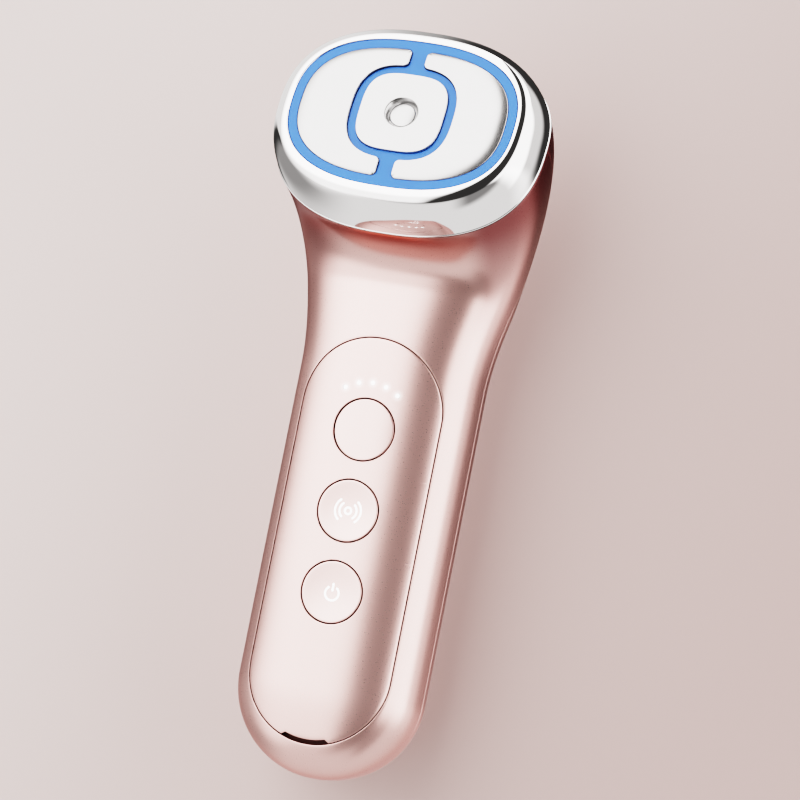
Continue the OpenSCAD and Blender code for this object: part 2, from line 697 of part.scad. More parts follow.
// The bezel's skin: rings from the opening, over the rounded rim, down the skirt and back up inside
module head_bezel() {
    rim_steps = 8;
    crest = grow(opening, crest_in);
    function between(a, b, t) = [for (k = [0:4]) mix(a[k], b[k], t)];
    rings = concat(
        [[opening, 0], [grow(opening, crest_in/3), rim_rise*0.8]],
        [for (k = [0:rim_steps]) [between(crest, rim, sin(90*k/rim_steps)),
            mix(-rim_depth, rim_rise, cos(90*k/rim_steps))]],
        [for (k = [1:swell_steps]) let (t = k/swell_steps) [
            between(rim, skirt, t) + sin(180*t)*[swell_side, swell_end, swell_end, 0, 0],
            mix(-rim_depth, -skirt_depth, t)]],
        [[grow(skirt, -bezel_wall), -skirt_depth],
         [grow(rim, -bezel_wall), -rim_depth], [grow(opening, 1.2), -lip_t], [opening, -lip_t]]
    );
    n = len(rings);
    c = outline_steps;
    points = [for (g = rings) for (p = outline(g[0])) [p.x, p.y, g[1]]];
    faces = [for (i = [0:n - 1]) each strip(i*c, ((i + 1)%n)*c, c, true)];
    color(chrome) in_head() polyhedron(points = points, faces = faces, convexity = 4);
}
module head_gasket() color(white) in_head() difference() {
    plate(mouth, skirt_depth, junction_depth);
    plate(grow(mouth, -wall), skirt_depth - 1, junction_depth + 1);
}

// The face's flat shapes
module pair_shape() difference() {
    polygon(outline(side_pair));
    polygon(outline(centre_hole));
    square([link_w, 2*opening_h], center = true);
}
module side_shape(side, grown) offset(delta = grown) offset(r = corner_r, $fn = blend_fn)
    offset(delta = -corner_r) intersection() {
        pair_shape();
        translate([side > 0 ? 0 : -opening_w, -opening_h]) square([opening_w, 2*opening_h]);
    }
module side_electrode(side) in_head() {
    for (step = [[0, 0.3], [0.12, 0.15], [0.3, 0]])
        translate([0, 0, -pocket_depth]) linear_extrude(pocket_depth + electrode_proud - step[1])
            side_shape(side, -step[0]);
}
module left_electrode() color(steel) side_electrode(-1);
module right_electrode() color(steel) side_electrode(1);
module centre_electrode() color(steel) in_head() difference() {
    union() for (step = [[0, 0.3], [0.12, 0.15], [0.3, 0]])
        plate(grow(centre, -step[0]), step[1] - electrode_proud, pocket_depth);
    post(disc_d/2 + fit/2, -pocket_depth - 1, 1);
    translate([0, 0, -sensor_d]) cylinder(r1 = disc_d/2 + fit/2, r2 = dimple_d/2,
        h = dimple_depth, $fn = round_fn);
}
module sensor_disc() color(steel) in_head() post(disc_d/2, -sensor_d - disc_t, -sensor_d);
module temperature_sensor() color(chip_black) in_head()
    post(sensor_r, -sensor_d - disc_t - sensor_l, -sensor_d - disc_t);

module insulator() color(blue) in_head() difference() {
    union() {
        plate(grow(opening, -fit), 0.05, lip_t);
        plate(grow(opening, flange_grow), lip_t, insulator_d);
    }
    for (side = [-1, 1]) {
        translate([0, 0, -pocket_depth]) linear_extrude(pocket_depth + 1) side_shape(side, fit);
    }
    for (p = pin_spots) translate([p.x, p.y, 0]) post(pin_r + fit, -insulator_d - 1, 0);
    plate(grow(centre, fit), -1, pocket_depth);
    post(disc_d/2 + fit/2, -sensor_d - disc_t, 1);
    post(sensor_r + 2*fit, -insulator_d - 1, 0);
}

module electrode_carrier() color(white) in_head() difference() {
    union() {
        plate(grow(opening, flange_grow), insulator_d, carrier_d);
        difference() {
            plate(grow(opening, flange_grow), carrier_d, spigot_d);
            plate(grow(opening, flange_grow - spigot_wall), carrier_d, spigot_d + 1);
        }
        for (x = [-1, 1], v = [-1, 1]) translate([x*driver_post, v*driver_post, 0])
            post(small_post_r, -driver_d, -carrier_d);
    }
    for (v = head_screw_vs) at_head_screws(v) {
        post(head_screw_r + fit, -carrier_d - 1, -insulator_d + 1);
        post(head_screw_head_r + 2*fit, -head_screw_seat, -insulator_d + 1);
        // slot in the spigot for the boss's rib
        translate([0, 0, -(head_rib_top - fit + spigot_d + 1)/2])
            cube([opening_w/2, head_rib_t + 4*fit, spigot_d + 1 - head_rib_top + fit], center = true);
    }
    for (x = [-1, 1], v = [-1, 1]) translate([x*driver_post, v*driver_post, 0])
        post(screw_r, -driver_d - 1, -driver_d - board_t + pilot_l);
    for (p = pin_spots) translate([p.x, p.y, 0]) post(pin_barrel_r + fit, -carrier_d - 1, 0);
    post(sensor_r + 2*fit, -carrier_d - 1, 0);
}
module head_screws() color(steel) in_head() for (v = head_screw_vs) at_head_screws(v)
    translate([0, 0, -head_screw_seat])
        screw(head_screw_r, head_screw_l, head_screw_head_r, head_screw_head_h);

// A spring pin: its barrel stands on the driver board, its tip presses on an electrode
module contact_pins() color(brass) in_head() {
    for (p = pin_spots) translate([p.x, p.y, 0]) {
        post(pin_barrel_r, -driver_d, -pin_barrel_top);
        post(pin_r, -pin_barrel_top, -pocket_depth);
    }
}
driver = [driver_w/2, driver_w/2, driver_w/2, 0, 3];
module driver_board() color(board_green) in_head() difference() {
    plate(driver, driver_d, driver_d + board_t);
    for (x = [-1, 1], v = [-1, 1]) translate([x*driver_post, v*driver_post, 0])
        post(screw_r + fit, -driver_d - board_t - 1, 0);
}
module driver_coil() color(brass) in_head()
    translate([-coil_r, coil_r, -driver_d - board_t]) difference() {
        post(coil_r, -coil_h, 0);
        post(coil_hole_r, -coil_h - 1, -coil_h/4);
    }
module driver_chips() color(chip_black) in_head() for (v = [-1, 1])
    translate([chip_x - small_chip/2, v*small_chip - small_chip/2, -driver_d - board_t - chip_t])
        cube([small_chip, small_chip, chip_t]);

// Flat cable from the main board up the neck to the driver board
module head_cable() {
    t = 0.3;
    w = 8;
    n = 14;
    lift = driver_d + board_t;
    v = -10.6;
    end = [face_y + v*cos(face_tilt) - lift*sin(face_tilt),
           face_z - v*sin(face_tilt) - lift*cos(face_tilt)];
    start = [board_end - 4, board_top + t/2];
    knots = [start, [end.x - 12, start.y], end - 9*[sin(face_tilt), cos(face_tilt)], end];
    function at(u) = let (s = 1 - u)
        s*s*s*knots[0] + 3*s*s*u*knots[1] + 3*s*u*u*knots[2] + u*u*u*knots[3];
    function slope(u) = let (s = 1 - u, d = s*s*(knots[1] - knots[0])
        + 2*s*u*(knots[2] - knots[1]) + u*u*(knots[3] - knots[2])) d/norm(d);
    function side_of(u, k) = let (d = slope(u)) at(u) + k*t/2*[-d.y, d.x];
    color("orange") rotate([90, 0, 90]) translate([0, 0, -w/2]) linear_extrude(w) polygon(concat(
        [for (i = [0:n]) side_of(i/n, 1)], [for (i = [n:-1:0]) side_of(i/n, -1)]
    ));
}

stand() front_shell();
stand() back_shell();
stand() control_panel();
stand() level_button();
stand() mode_button();
stand() power_button();
stand() level_plunger();
stand() mode_plunger();
stand() power_plunger();
stand() switch_bodies();
stand() light_guide();
stand() level_leds();
stand() main_board();
stand() board_chips();
stand() board_screws();
stand() battery_cell();
stand() battery_cradle();
stand() battery_tabs();
stand() charge_board();
stand() charging_socket();
stand() socket_seal();
stand() board_connector();
stand() motor_can();
stand() motor_shaft();
stand() eccentric_weight();
stand() motor_sleeve();
stand() head_bezel();
stand() head_gasket();
stand() insulator();
stand() left_electrode();
stand() right_electrode();
stand() centre_electrode();
stand() sensor_disc();
stand() temperature_sensor();
stand() electrode_carrier();
stand() contact_pins();
stand() driver_board();
stand() driver_coil();
stand() driver_chips();
stand() head_screws();
stand() head_cable();
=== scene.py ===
# %% [markdown]
# # A facial toning device
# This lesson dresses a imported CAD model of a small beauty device. The real one is a satin rose handle
# with a flush panel of three buttons, and a bent neck that carries a polished oval head. The CAD model
# is the fixed frame: it says where every piece is, and the new pieces here are finer skins over it.

# %% Load the frame
import json
import math
import bmesh
import bpy
from mathutils import Matrix, Vector

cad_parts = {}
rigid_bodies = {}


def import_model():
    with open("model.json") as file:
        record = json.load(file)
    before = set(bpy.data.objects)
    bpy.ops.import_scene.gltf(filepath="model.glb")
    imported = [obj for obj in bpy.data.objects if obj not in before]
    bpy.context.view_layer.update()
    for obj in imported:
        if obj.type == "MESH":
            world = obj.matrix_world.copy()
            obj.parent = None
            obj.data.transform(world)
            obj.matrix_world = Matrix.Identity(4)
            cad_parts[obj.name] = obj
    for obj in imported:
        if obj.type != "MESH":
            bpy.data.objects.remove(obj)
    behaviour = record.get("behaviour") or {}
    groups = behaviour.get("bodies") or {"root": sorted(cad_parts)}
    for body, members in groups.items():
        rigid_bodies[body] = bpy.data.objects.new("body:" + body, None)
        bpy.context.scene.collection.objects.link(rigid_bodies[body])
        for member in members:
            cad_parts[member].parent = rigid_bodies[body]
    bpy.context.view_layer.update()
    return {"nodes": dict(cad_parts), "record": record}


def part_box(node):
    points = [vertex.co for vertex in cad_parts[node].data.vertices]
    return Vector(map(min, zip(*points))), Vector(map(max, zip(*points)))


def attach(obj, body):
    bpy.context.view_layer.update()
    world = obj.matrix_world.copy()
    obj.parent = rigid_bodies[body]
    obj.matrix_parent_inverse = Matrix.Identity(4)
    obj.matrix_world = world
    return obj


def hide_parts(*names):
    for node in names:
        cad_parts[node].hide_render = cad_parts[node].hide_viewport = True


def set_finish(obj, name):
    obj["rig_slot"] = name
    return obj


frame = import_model()


def middle(node):
    """Centre of a CAD node's box."""
    low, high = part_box(node)
    return (low + high) / 2


# %% [markdown]
# ## Sizes
# The moulded case is a loft, so its rules are repeated here in millimetres, in the designer's own frame:
# the foot's tip at y = 0 and the widest plane at z = 0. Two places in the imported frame, the lowest
# button and the charging socket, say how that frame lies in the scene.

# %% Sizes of the case and the head
MM = 0.001
HALF_W = 18.9                            # half the handle's width
FRONT, BACK, FLOOR = 13.9, 16.0, 15.6    # its depth to the front, to the back and to the flat it lies on
HANDLE_POWER, FOOT_POWER = 2.75, 2.6     # how square its section and its foot are
NECK_START, FLARE_ARC = 82.8, 33.0       # where it starts to widen, and the bend's length on the map
SEAM_DROP, SEAM_SAG = 2.0, 4.6           # the seam under the widest plane: on the handle, in the bend
FACE_Y, FACE_Z, TILT = 132.4, 30.4, math.radians(18.2)    # middle and tilt of the head's face
SKIRT_DEPTH, JUNCTION = 10.0, 10.5       # the bezel's depth, and the neck's mouth under the face
REACH = 30.35                            # from the bend's axis to the middle of the head
BEND = math.radians(90) - TILT
BEND_Y = FACE_Y - JUNCTION * math.sin(TILT) - REACH * math.cos(TILT)
BEND_Z = FACE_Z - JUNCTION * math.cos(TILT) + REACH * math.sin(TILT)
FIRST_BUTTON = 37.7                      # from the foot's tip to the lowest button

# Head outlines: half width, near and far half heights, shift, exponent
OPENING = (22.95, 16.5, 16.5, 0.0, 2.51)
RIM = (26.2, 19.6, 19.6, 0.46, 2.42)
SKIRT = (27.8, 23.6, 19.1, 1.9, 2.45)
PAIR = (21.1, 14.5, 14.5, 0.0, 2.55)
CENTRE = (8.7, 8.7, 8.7, 0.0, 3.2)
HOLE = (10.5, 10.5, 10.5, 0.0, 2.77)

shift_y = middle("power_button").y / MM - FIRST_BUTTON
shift_z = middle("charging_socket").z / MM
print("the designer's frame is moved by", round(shift_y, 3), round(shift_z, 3), "mm")

# %% [markdown]
# Two functions place a point in the scene: row() takes the designer's frame, and on_face() takes the head's
# own tilted frame. A head outline is a superellipse: an oval whose power says how square it is.

# %% Place a point
def row(x, y, z):
    """A point of the designer's frame, in the scene."""
    return Vector((x, y + shift_y, z + shift_z)) * MM


def on_face(x, v, height):
    """A point of the head's own frame: height above the face plane, v away from the handle."""
    return row(x, FACE_Y + v * math.cos(TILT) + height * math.sin(TILT),
               FACE_Z - v * math.sin(TILT) + height * math.cos(TILT))


def mix(a, b, t):
    return a + (b - a) * t


def ease(t):
    t = min(1.0, max(0.0, t))
    return t * t * (3 - 2 * t)


def grow(outline, by):
    return tuple(part + by for part in outline[:3]) + outline[3:]


def outline_point(outline, turn):
    """A point of a superellipse outline at a share of a full turn."""
    wide, near, far, shift, power = outline
    c, s = math.cos(math.tau * turn), math.sin(math.tau * turn)
    x = wide * math.copysign(abs(c) ** (2 / power), c)
    return x, shift + (far if s > 0 else near) * math.copysign(abs(s) ** (2 / power), s)


print("middle of the head's face:", [round(c, 4) for c in on_face(0, 0, 0)])


# %% [markdown]
# ## Camera
# The photograph looks down on the device from its right, with the handle leaning to the left in the
# frame. A long lens keeps the handle's sides nearly parallel. The camera is placed from the middle
# button, which the photograph shows at a known spot.

# %% Camera at the photograph's angle
LENS, SENSOR, DISTANCE = 135.0, 36.0, 600.0
SIDE, DOWN, LEAN = math.radians(16.1), math.radians(4.4), math.radians(11.21)
FRAME_SHIFT = (-10.49, -22.07)    # from the picture's centre to the middle button

back = Vector((math.sin(SIDE) * math.cos(DOWN), -math.sin(DOWN), math.cos(SIDE) * math.cos(DOWN)))
up = (Vector((0, 1, 0)) - back * back.y).normalized()
right = up.cross(back)
cam_x = right * math.cos(LEAN) + up * math.sin(LEAN)
cam_y = up * math.cos(LEAN) - right * math.sin(LEAN)
target = row(0, 54.3, 13.9)
camera = bpy.data.objects.new("camera", bpy.data.cameras.new("camera"))
bpy.context.scene.collection.objects.link(camera)
camera.data.lens, camera.data.sensor_width = LENS, SENSOR
camera.data.clip_start, camera.data.clip_end = 0.01, 10.0
place = target + (back * DISTANCE - cam_x * FRAME_SHIFT[0] - cam_y * FRAME_SHIFT[1]) * MM
camera.matrix_world = Matrix.Translation(place) @ Matrix((cam_x, cam_y, back)).transposed().to_4x4()
bpy.context.scene.camera = camera
bpy.context.scene.view_settings.view_transform = "Filmic"
bpy.context.scene.view_settings.look = "Very High Contrast"
print("camera at", [round(c, 4) for c in place])

# %% [markdown]
# ## Helpers for pieces
# A lofted skin is a grid of quads whose corners follow a rule. The grid operator makes the quads, the
# rule moves them, and merging the doubles closes seams and poles. Revolved pieces use spin instead.

# %% Make and finish a piece
SMOOTH = math.radians(32)


def grid(columns, rows, rule, bm=None, bare=()):
    """A grid of quads; rule(column, row) gives each corner's place. Rows in bare stay unpainted."""
    bm = bm or bmesh.new()
    made = bmesh.ops.create_grid(bm, x_segments=columns, y_segments=rows, size=1)["verts"]
    row_of = {vert: round((vert.co.y + 1) / 2 * rows) for vert in made}
    for vert, index in row_of.items():
        vert.co = rule(round((vert.co.x + 1) / 2 * columns), index)
    for face in {face for vert in made for face in vert.link_faces} if bare else ():
        face.material_index = int(all(row_of[vert] in bare for vert in face.verts))
    return bm


def revolve(profile, centre, steps=96, axis=(0, 0, 1)):
    """A piece turned from (radius, height) points round an axis through centre."""
    bm = bmesh.new()
    verts = [bm.verts.new((r * MM, 0, h * MM)) for r, h in profile]
    edges = [bm.edges.new(pair) for pair in zip(verts, verts[1:])]
    bmesh.ops.spin(bm, geom=verts + edges, cent=(0, 0, 0), axis=(0, 0, 1), angle=math.tau,
                   steps=steps, use_merge=True)
    turn = Vector((0, 0, 1)).rotation_difference(Vector(axis)).to_matrix().to_4x4()
    bmesh.ops.transform(bm, matrix=Matrix.Translation(centre) @ turn, verts=bm.verts)
    return bm


def piece(bm, name, body, slot, *nodes, smooth=SMOOTH):
    """Closes the mesh, shades it, and hands it to the frame."""
    bmesh.ops.remove_doubles(bm, verts=bm.verts, dist=1e-7)
    bmesh.ops.dissolve_degenerate(bm, edges=bm.edges, dist=1e-8)
    bmesh.ops.recalc_face_normals(bm, faces=bm.faces)
    for edge in bm.edges:
        edge.smooth = edge.calc_face_angle(0.0) < smooth
    for face in bm.faces:
        face.smooth = True
    mesh = bpy.data.meshes.new(name)
    bm.to_mesh(mesh)
    open_edges = sum(len(edge.link_faces) != 2 for edge in bm.edges)
    bm.free()
    made = bpy.data.objects.new(name, mesh)
    bpy.context.scene.collection.objects.link(made)
    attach(made, body)
    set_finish(made, slot)
    if nodes:
        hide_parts(*nodes)
    print(f"{name}: {len(mesh.polygons)} faces, {open_edges} open edges")
    return made


# %% [markdown]
# ## The moulded case
# The case is a rounded bar that bends into the head's oval. Any point of its skin has a place along the
# part and a place round it. A flat map of the skin makes it easy to lay out pieces: on the map, x runs
# across and y runs along, and skin() folds the map back on to the body.

# %% Rules of the skin
def sweep(y):
    """Foot angle, distance along the straight part and bend angle at a distance along the map."""
    if y < HALF_W:
        return math.acos(1 - max(0.0, y) / HALF_W), HALF_W, 0.0
    if y < BEND_Y:
        return math.pi / 2, y, 0.0
    return math.pi / 2, BEND_Y, BEND * (y - BEND_Y) / FLARE_ARC


def section(foot, y, bend):
    """Half width, front depth, bend radius, back depth and exponent of the body there."""
    t = ease(bend / BEND)
    k = (1 - math.cos(foot) ** FOOT_POWER) ** (1 / FOOT_POWER)
    flare = ease((y + FLARE_ARC * bend / BEND - NECK_START) / (BEND_Y + FLARE_ARC - NECK_START))
    mouth = grow(SKIRT, -0.1)
    return (mix(HALF_W, mouth[0], flare), mix(FRONT, mouth[1], t), mix(BEND_Z, REACH + mouth[3], t),
            mix(BACK, mouth[2], t), mix(HANDLE_POWER, mouth[4], t), k)


def skin(x, y, inset=0.0, front=True):
    """The body's skin at a point of the map, moved inwards by inset."""
    foot, straight, bend = sweep(y)
    wide, near, radius, far, power, k = section(foot, straight, bend)
    across = x / (HALF_W * max(math.sin(foot), 1e-9))
    angle = math.pi / 2 * (1 - across if front else 3 + across)
    c, s = math.cos(angle), math.sin(angle)
    px = (wide - inset) * math.sin(foot) * math.copysign(abs(c) ** (2 / power), c)
    depth = near if s > 0 else far
    r = radius - (depth - inset) * k * math.copysign(abs(s) ** (2 / power), s)
    r = min(r, (BEND_Z + FLOOR - inset) / math.cos(bend))
    if foot < math.pi / 2:
        straight = HALF_W - (HALF_W - inset) * math.cos(foot)
    return row(px, straight + r * math.sin(bend), BEND_Z - r * math.cos(bend))


def seam(y, front):
    """Where the map's edge is: the seam between the shells, as a place across."""
    foot, straight, bend = sweep(y)
    far, power, k = section(foot, straight, bend)[3:]
    t = bend / BEND
    drop = SEAM_DROP * (1 - t) + (SEAM_SAG - SEAM_DROP / 2) * math.sin(math.pi * t)
    angle = math.asin(min(1.0, drop / far) ** (power / 2))
    side = 1 + angle / (math.pi / 2) * (1 if front else -1)
    return HALF_W * side * math.sin(foot)


def flat_x(x, y):
    """The map's place across for a true distance from the centre line, on the handle."""
    foot = sweep(y)[0]
    share = min(1.0, abs(x) / (section(*sweep(y))[0] * max(math.sin(foot), 1e-9)))
    across = math.pi / 2 - math.acos(share ** (HANDLE_POWER / 2))
    return math.copysign(across / (math.pi / 2) * HALF_W * math.sin(foot), x)


print("half width at the neck's mouth:", round(section(math.pi / 2, BEND_Y, BEND)[0], 2), "mm")

# %% [markdown]
# ## Layout round the panel
# The panel is a pill let into the front. Columns run out from the pill's outline to the seam and to
# the neck's mouth, so both edges of the gap are clean loops of quads that take a small round-over.
# A boolean cut would leave slivers there, and slivers show in a satin finish.

# %% Columns round the pill
low_corner, high_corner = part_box("control_panel")
PANEL_LOW, PANEL_HIGH = low_corner.y / MM - shift_y, high_corner.y / MM - shift_y
PILL_R = (high_corner.x - low_corner.x) / MM / 2
LOW_Y, HIGH_Y = PANEL_LOW + PILL_R, PANEL_HIGH - PILL_R
BUTTONS = {name: middle(name + "_button").y / MM - shift_y for name in ("power", "mode", "level")}
CUTS = [LOW_Y, (BUTTONS["power"] + BUTTONS["mode"]) / 2, (BUTTONS["mode"] + BUTTONS["level"]) / 2, HIGH_Y]
MAP_END = BEND_Y + FLARE_ARC
LOW_ARC, RUNS, HIGH_SIDE, HIGH_END = 36, (30, 20, 14), 40, 30
CUT_1 = LOW_ARC + RUNS[0]
CUT_2 = CUT_1 + RUNS[1]
HIGH_ARC = CUT_2 + RUNS[2]
MOUTH = HIGH_ARC + HIGH_SIDE
HALF_WAY = MOUTH + HIGH_END
COLUMNS = 2 * HALF_WAY


print("columns round the pill:", COLUMNS)

# %% [markdown]
# Every column needs two places: one on the pill's outline and one on the map's edge. Both halves are alike,
# so a column of the left half is folded on to the right half first.

# %% Ends of a column
def on_right(column):
    """Folds a column of the left half on to the right half."""
    n = column % COLUMNS
    return (n, 1) if n <= HALF_WAY else (COLUMNS - n, -1)


def straight_y(n):
    """Where a column leaves the pill's straight side."""
    run, first = (0, LOW_ARC) if n <= CUT_1 else (1, CUT_1) if n <= CUT_2 else (2, CUT_2)
    return mix(CUTS[run], CUTS[run + 1], (n - first) / RUNS[run])


def pill(column, grown):
    """A point of the pill's outline, grown by a gap, as a true x and y."""
    n, side = on_right(column)
    r = PILL_R + grown
    if n <= LOW_ARC:
        turn = math.pi / 2 * n / LOW_ARC
        return side * r * math.sin(turn), LOW_Y - r * math.cos(turn)
    if n <= HIGH_ARC:
        return side * r, straight_y(n)
    turn = math.pi / 2 * (n - HIGH_ARC) / (HALF_WAY - HIGH_ARC)
    return side * r * math.cos(turn), HIGH_Y + r * math.sin(turn)


def edge_of_map(column, front):
    """The map's edge that belongs to a column: along a seam, or across the neck's mouth."""
    n, side = on_right(column)
    if n <= LOW_ARC:
        y = HALF_W * (1 - math.cos(math.pi / 2 * n / LOW_ARC))
    elif n <= HIGH_ARC:
        y = mix(HALF_W, HIGH_Y, (straight_y(n) - LOW_Y) / (HIGH_Y - LOW_Y))
    elif n <= MOUTH:
        y = mix(HIGH_Y, MAP_END, (n - HIGH_ARC) / HIGH_SIDE)
    else:
        y = MAP_END
    across = 1 - max(0, n - MOUTH) / HIGH_END
    return Vector((side * across * seam(y, front), y))


def round_over(radius, steps=4):
    """(distance from the edge, depth) pairs of a small rounded edge, from the face down."""
    turns = [math.pi / 2 * k / steps for k in range(steps + 1)]
    return [(radius * (1 - math.sin(a)), radius * (1 - math.cos(a))) for a in turns]


print("top of the pill:", pill(HALF_WAY, 0))


# %% [markdown]
# ## Front shell
# Each column starts on the ledge that carries the panel, climbs the pocket's wall, turns over the
# gap's edge, crosses the skin to the seam, turns over again and comes back along the inside. The
# rows form a closed loop, so the shell is one solid wall.

# %% Build the front shell
GAP, EDGE = 0.19, 0.14                   # round the panel, and the round-over of every gap's edge
WALL, POCKET, LEDGE = 2.2, 1.2, 2.0      # the wall, and the depth and width of the panel's ledge
SKIN_ROWS = 46


def front_point(x, y, depth):
    """A point under the front skin at a true x and y: for walls that drop straight down."""
    u = min(1.0, max(0.0, (HALF_W - y) / (HALF_W - depth)))
    wide = (section(*sweep(max(y, HALF_W)))[0] - depth) * math.sqrt(1 - u * u)
    drop = (1 - min(1.0, abs(x) / wide) ** HANDLE_POWER) ** (1 / HANDLE_POWER)
    return row(x, y, (FRONT - depth) * (1 - u ** FOOT_POWER) ** (1 / FOOT_POWER) * drop)


def shell_rows(start):
    """Rows from near the pill (or the back's centre line) over the seam and back inside."""
    out = [(k / SKIN_ROWS, 0.0, 0.0) for k in range(SKIN_ROWS)]
    over = [(1.0, distance, depth) for distance, depth in round_over(EDGE)]
    inner = [(k / 12, 0.0, WALL) for k in range(12, -1, -1)]
    return start + out + over + inner


def shell_rule(rows, inside, front):
    """rows hold (share of the way out, distance from the seam, depth) or a grown pill with a depth."""
    def rule(column, index):
        entry = rows[index % len(rows)]
        if len(entry) == 2:
            return front_point(*pill(column, entry[0]), entry[1])
        share, distance, depth = entry
        start, edge = inside(column), edge_of_map(column, front)
        spot = start.lerp(edge, share) + (start - edge).normalized() * distance * 0.5
        return skin(spot.x, spot.y, depth, front)
    return rule


def near_pill(column):
    x, y = pill(column, GAP + 0.5)
    return Vector((flat_x(x, y), y))


pocket = [(-LEDGE, WALL), (-LEDGE, POCKET), (GAP, POCKET)]
pocket += [(GAP + distance, depth) for distance, depth in reversed(round_over(EDGE))]
front_rows = shell_rows(pocket)
unpainted = set(range(len(pocket) - 2)) | {len(front_rows)}
bm = grid(COLUMNS, len(front_rows), shell_rule(front_rows, near_pill, True), bare=unpainted)
front_skin = piece(bm, "front_shell_skin", "case", "rose_case", "front_shell")

# %% [markdown]
# ## Back shell
# The back has no panel, so its columns start from a slit along the middle of the back, whose two
# sides merge when the doubles are removed.

# %% Build the back shell
SLIT_LOW, SLIT_HIGH = 15.0, 112.0


def slit(column):
    n = on_right(column)[0]
    share = min(1.0, max(0.0, (n - LOW_ARC) / (MOUTH - LOW_ARC)))
    return Vector((0.0, mix(SLIT_LOW, SLIT_HIGH, share)))


back_rows = shell_rows([])
bm = grid(COLUMNS, len(back_rows) - 1, shell_rule(back_rows, slit, False))
back_skin = piece(bm, "back_shell_skin", "case", "rose_case", "back_shell")

# %% [markdown]
# ## Charging port
# The port is a slot with round ends at the foot's tip, right on the seam, so it is cut through both
# shells. A Boolean modifier does that well here, where the skin is nearly flat, and its result is kept
# as the mesh.

# %% Cut the charging port
PORT_W, PORT_H, PORT_DEPTH = 10.54, 4.86, 5.0


def slot_cutter():
    """A bar with round ends, along y through the foot's tip."""
    bm = bmesh.new()
    half = (PORT_W - PORT_H) / 2
    turns = [math.pi * k / 16 for k in range(17)]
    ring = [(half + PORT_H / 2 * math.sin(a), PORT_H / 2 * math.cos(a)) for a in turns]
    ring += [(-x, -z) for x, z in ring]
    verts = [bm.verts.new(row(x, -2, z)) for x, z in ring]
    made = bmesh.ops.extrude_face_region(bm, geom=[bm.faces.new(verts)], use_keep_orig=True)["geom"]
    bmesh.ops.translate(bm, vec=(0, (PORT_DEPTH + 2) * MM, 0),
                        verts=[v for v in made if isinstance(v, bmesh.types.BMVert)])
    bmesh.ops.recalc_face_normals(bm, faces=bm.faces)
    mesh = bpy.data.meshes.new("port_cutter")
    bm.to_mesh(mesh)
    bm.free()
    return bpy.data.objects.new("port_cutter", mesh)


cutter = slot_cutter()
bpy.context.scene.collection.objects.link(cutter)
for skin_piece in (front_skin, back_skin):
    cut = skin_piece.modifiers.new("port", "BOOLEAN")
    cut.operation, cut.solver, cut.object = "DIFFERENCE", "EXACT", cutter
    shape = bpy.data.meshes.new_from_object(skin_piece.evaluated_get(bpy.context.evaluated_depsgraph_get()))
    skin_piece.modifiers.clear()
    skin_piece.data = shape
    print(skin_piece.name, len(shape.polygons), "faces with the port")
bpy.data.objects.remove(cutter)

# %% [markdown]
# ## Control panel
# The panel's face has three round holes. It is laid out in three zones, one to a button. Each zone is a
# fan of columns from its hole to its border, and neighbouring zones share the points of the line
# between them, so they merge into one smooth plate. A narrow strip then turns the plate's outer edge
# over, column by column, just inside the pocket.

# %% Build the control panel
BUTTON_R = 6.2
HOLE_R = BUTTON_R + 0.25
PANEL_T = 1.1
ACROSS, FAN_ROWS = 30, 34
NOTCH_HALF, NOTCH = 4.8, 0.8             # half width and depth of the finger notch


def notched(column, grown):
    """A point of the panel's own edge, with the finger notch at its lower end."""
    x, y = pill(column, grown)
    if y < LOW_Y and abs(x) < NOTCH_HALF:
        away = math.hypot(x, y - LOW_Y)
        x, y = x * (1 - NOTCH / away), LOW_Y + (y - LOW_Y) * (1 - NOTCH / away)
    return x, y


def zone_border(first, last):
    """A zone's border: columns of the pill on both sides, joined by the lines it shares."""
    right = [notched(n, -EDGE) for n in range(first, last + 1)]
    left = [notched(COLUMNS - n, -EDGE) for n in range(last, first - 1, -1)]
    share = [k / ACROSS for k in range(1, ACROSS)]
    top = [(mix(right[-1][0], left[0][0], s), right[-1][1]) for s in share] if last < HALF_WAY else []
    low = [(mix(left[-1][0], right[0][0], s), right[0][1]) for s in share] if first else []
    return right + top + left + low


def fan(y, border):
    """Rows of a zone from its underside, up the hole's wall and out over the face."""
    face = [((k / FAN_ROWS) ** 1.2, 0.0, 0.0) for k in range(1, FAN_ROWS + 1)]
    hole = [(0.0, distance, depth) for distance, depth in round_over(EDGE)]
    under = [(k / 4, 0.0, PANEL_T) for k in range(5)]
    rows = list(reversed(face)) + hole + under

    def rule(column, index):
        share, distance, depth = rows[index]
        bx, by = border[column % len(border)]
        away = math.hypot(bx, by - y)
        start = (HOLE_R + distance) / away
        reach = mix(start, 1.0, share) if share < 1 else 1.0
        return front_point(bx * reach, y + (by - y) * reach, depth)

    return rule, rows


bm = bmesh.new()
for name, first, last in (("power", 0, CUT_1), ("mode", CUT_1, CUT_2), ("level", CUT_2, HALF_WAY)):
    border = zone_border(first, last)
    rule, rows = fan(BUTTONS[name], border)
    grid(len(border), len(rows) - 1, rule, bm, bare=range(len(rows) - 6, len(rows)))
edge_rows = [(-distance, depth) for distance, depth in round_over(EDGE)]
edge_rows += [(0.0, PANEL_T * 0.5), (-EDGE, PANEL_T)]
grid(COLUMNS, len(edge_rows) - 1, lambda column, index: front_point(
    *notched(column, edge_rows[index][0]), edge_rows[index][1]), bm, bare=range(4, len(edge_rows)))
piece(bm, "control_panel_skin", "case", "rose_panel", "control_panel")

# %% [markdown]
# ## Push buttons
# A button is a turned shape: a shallow dish for the fingertip, a narrow flat land, a small round-over,
# and a skirt that goes down through the panel to its flange. A spin of one profile gives all of it. The
# top button has no dish: its face follows the panel's curve, so its points drop towards both sides.

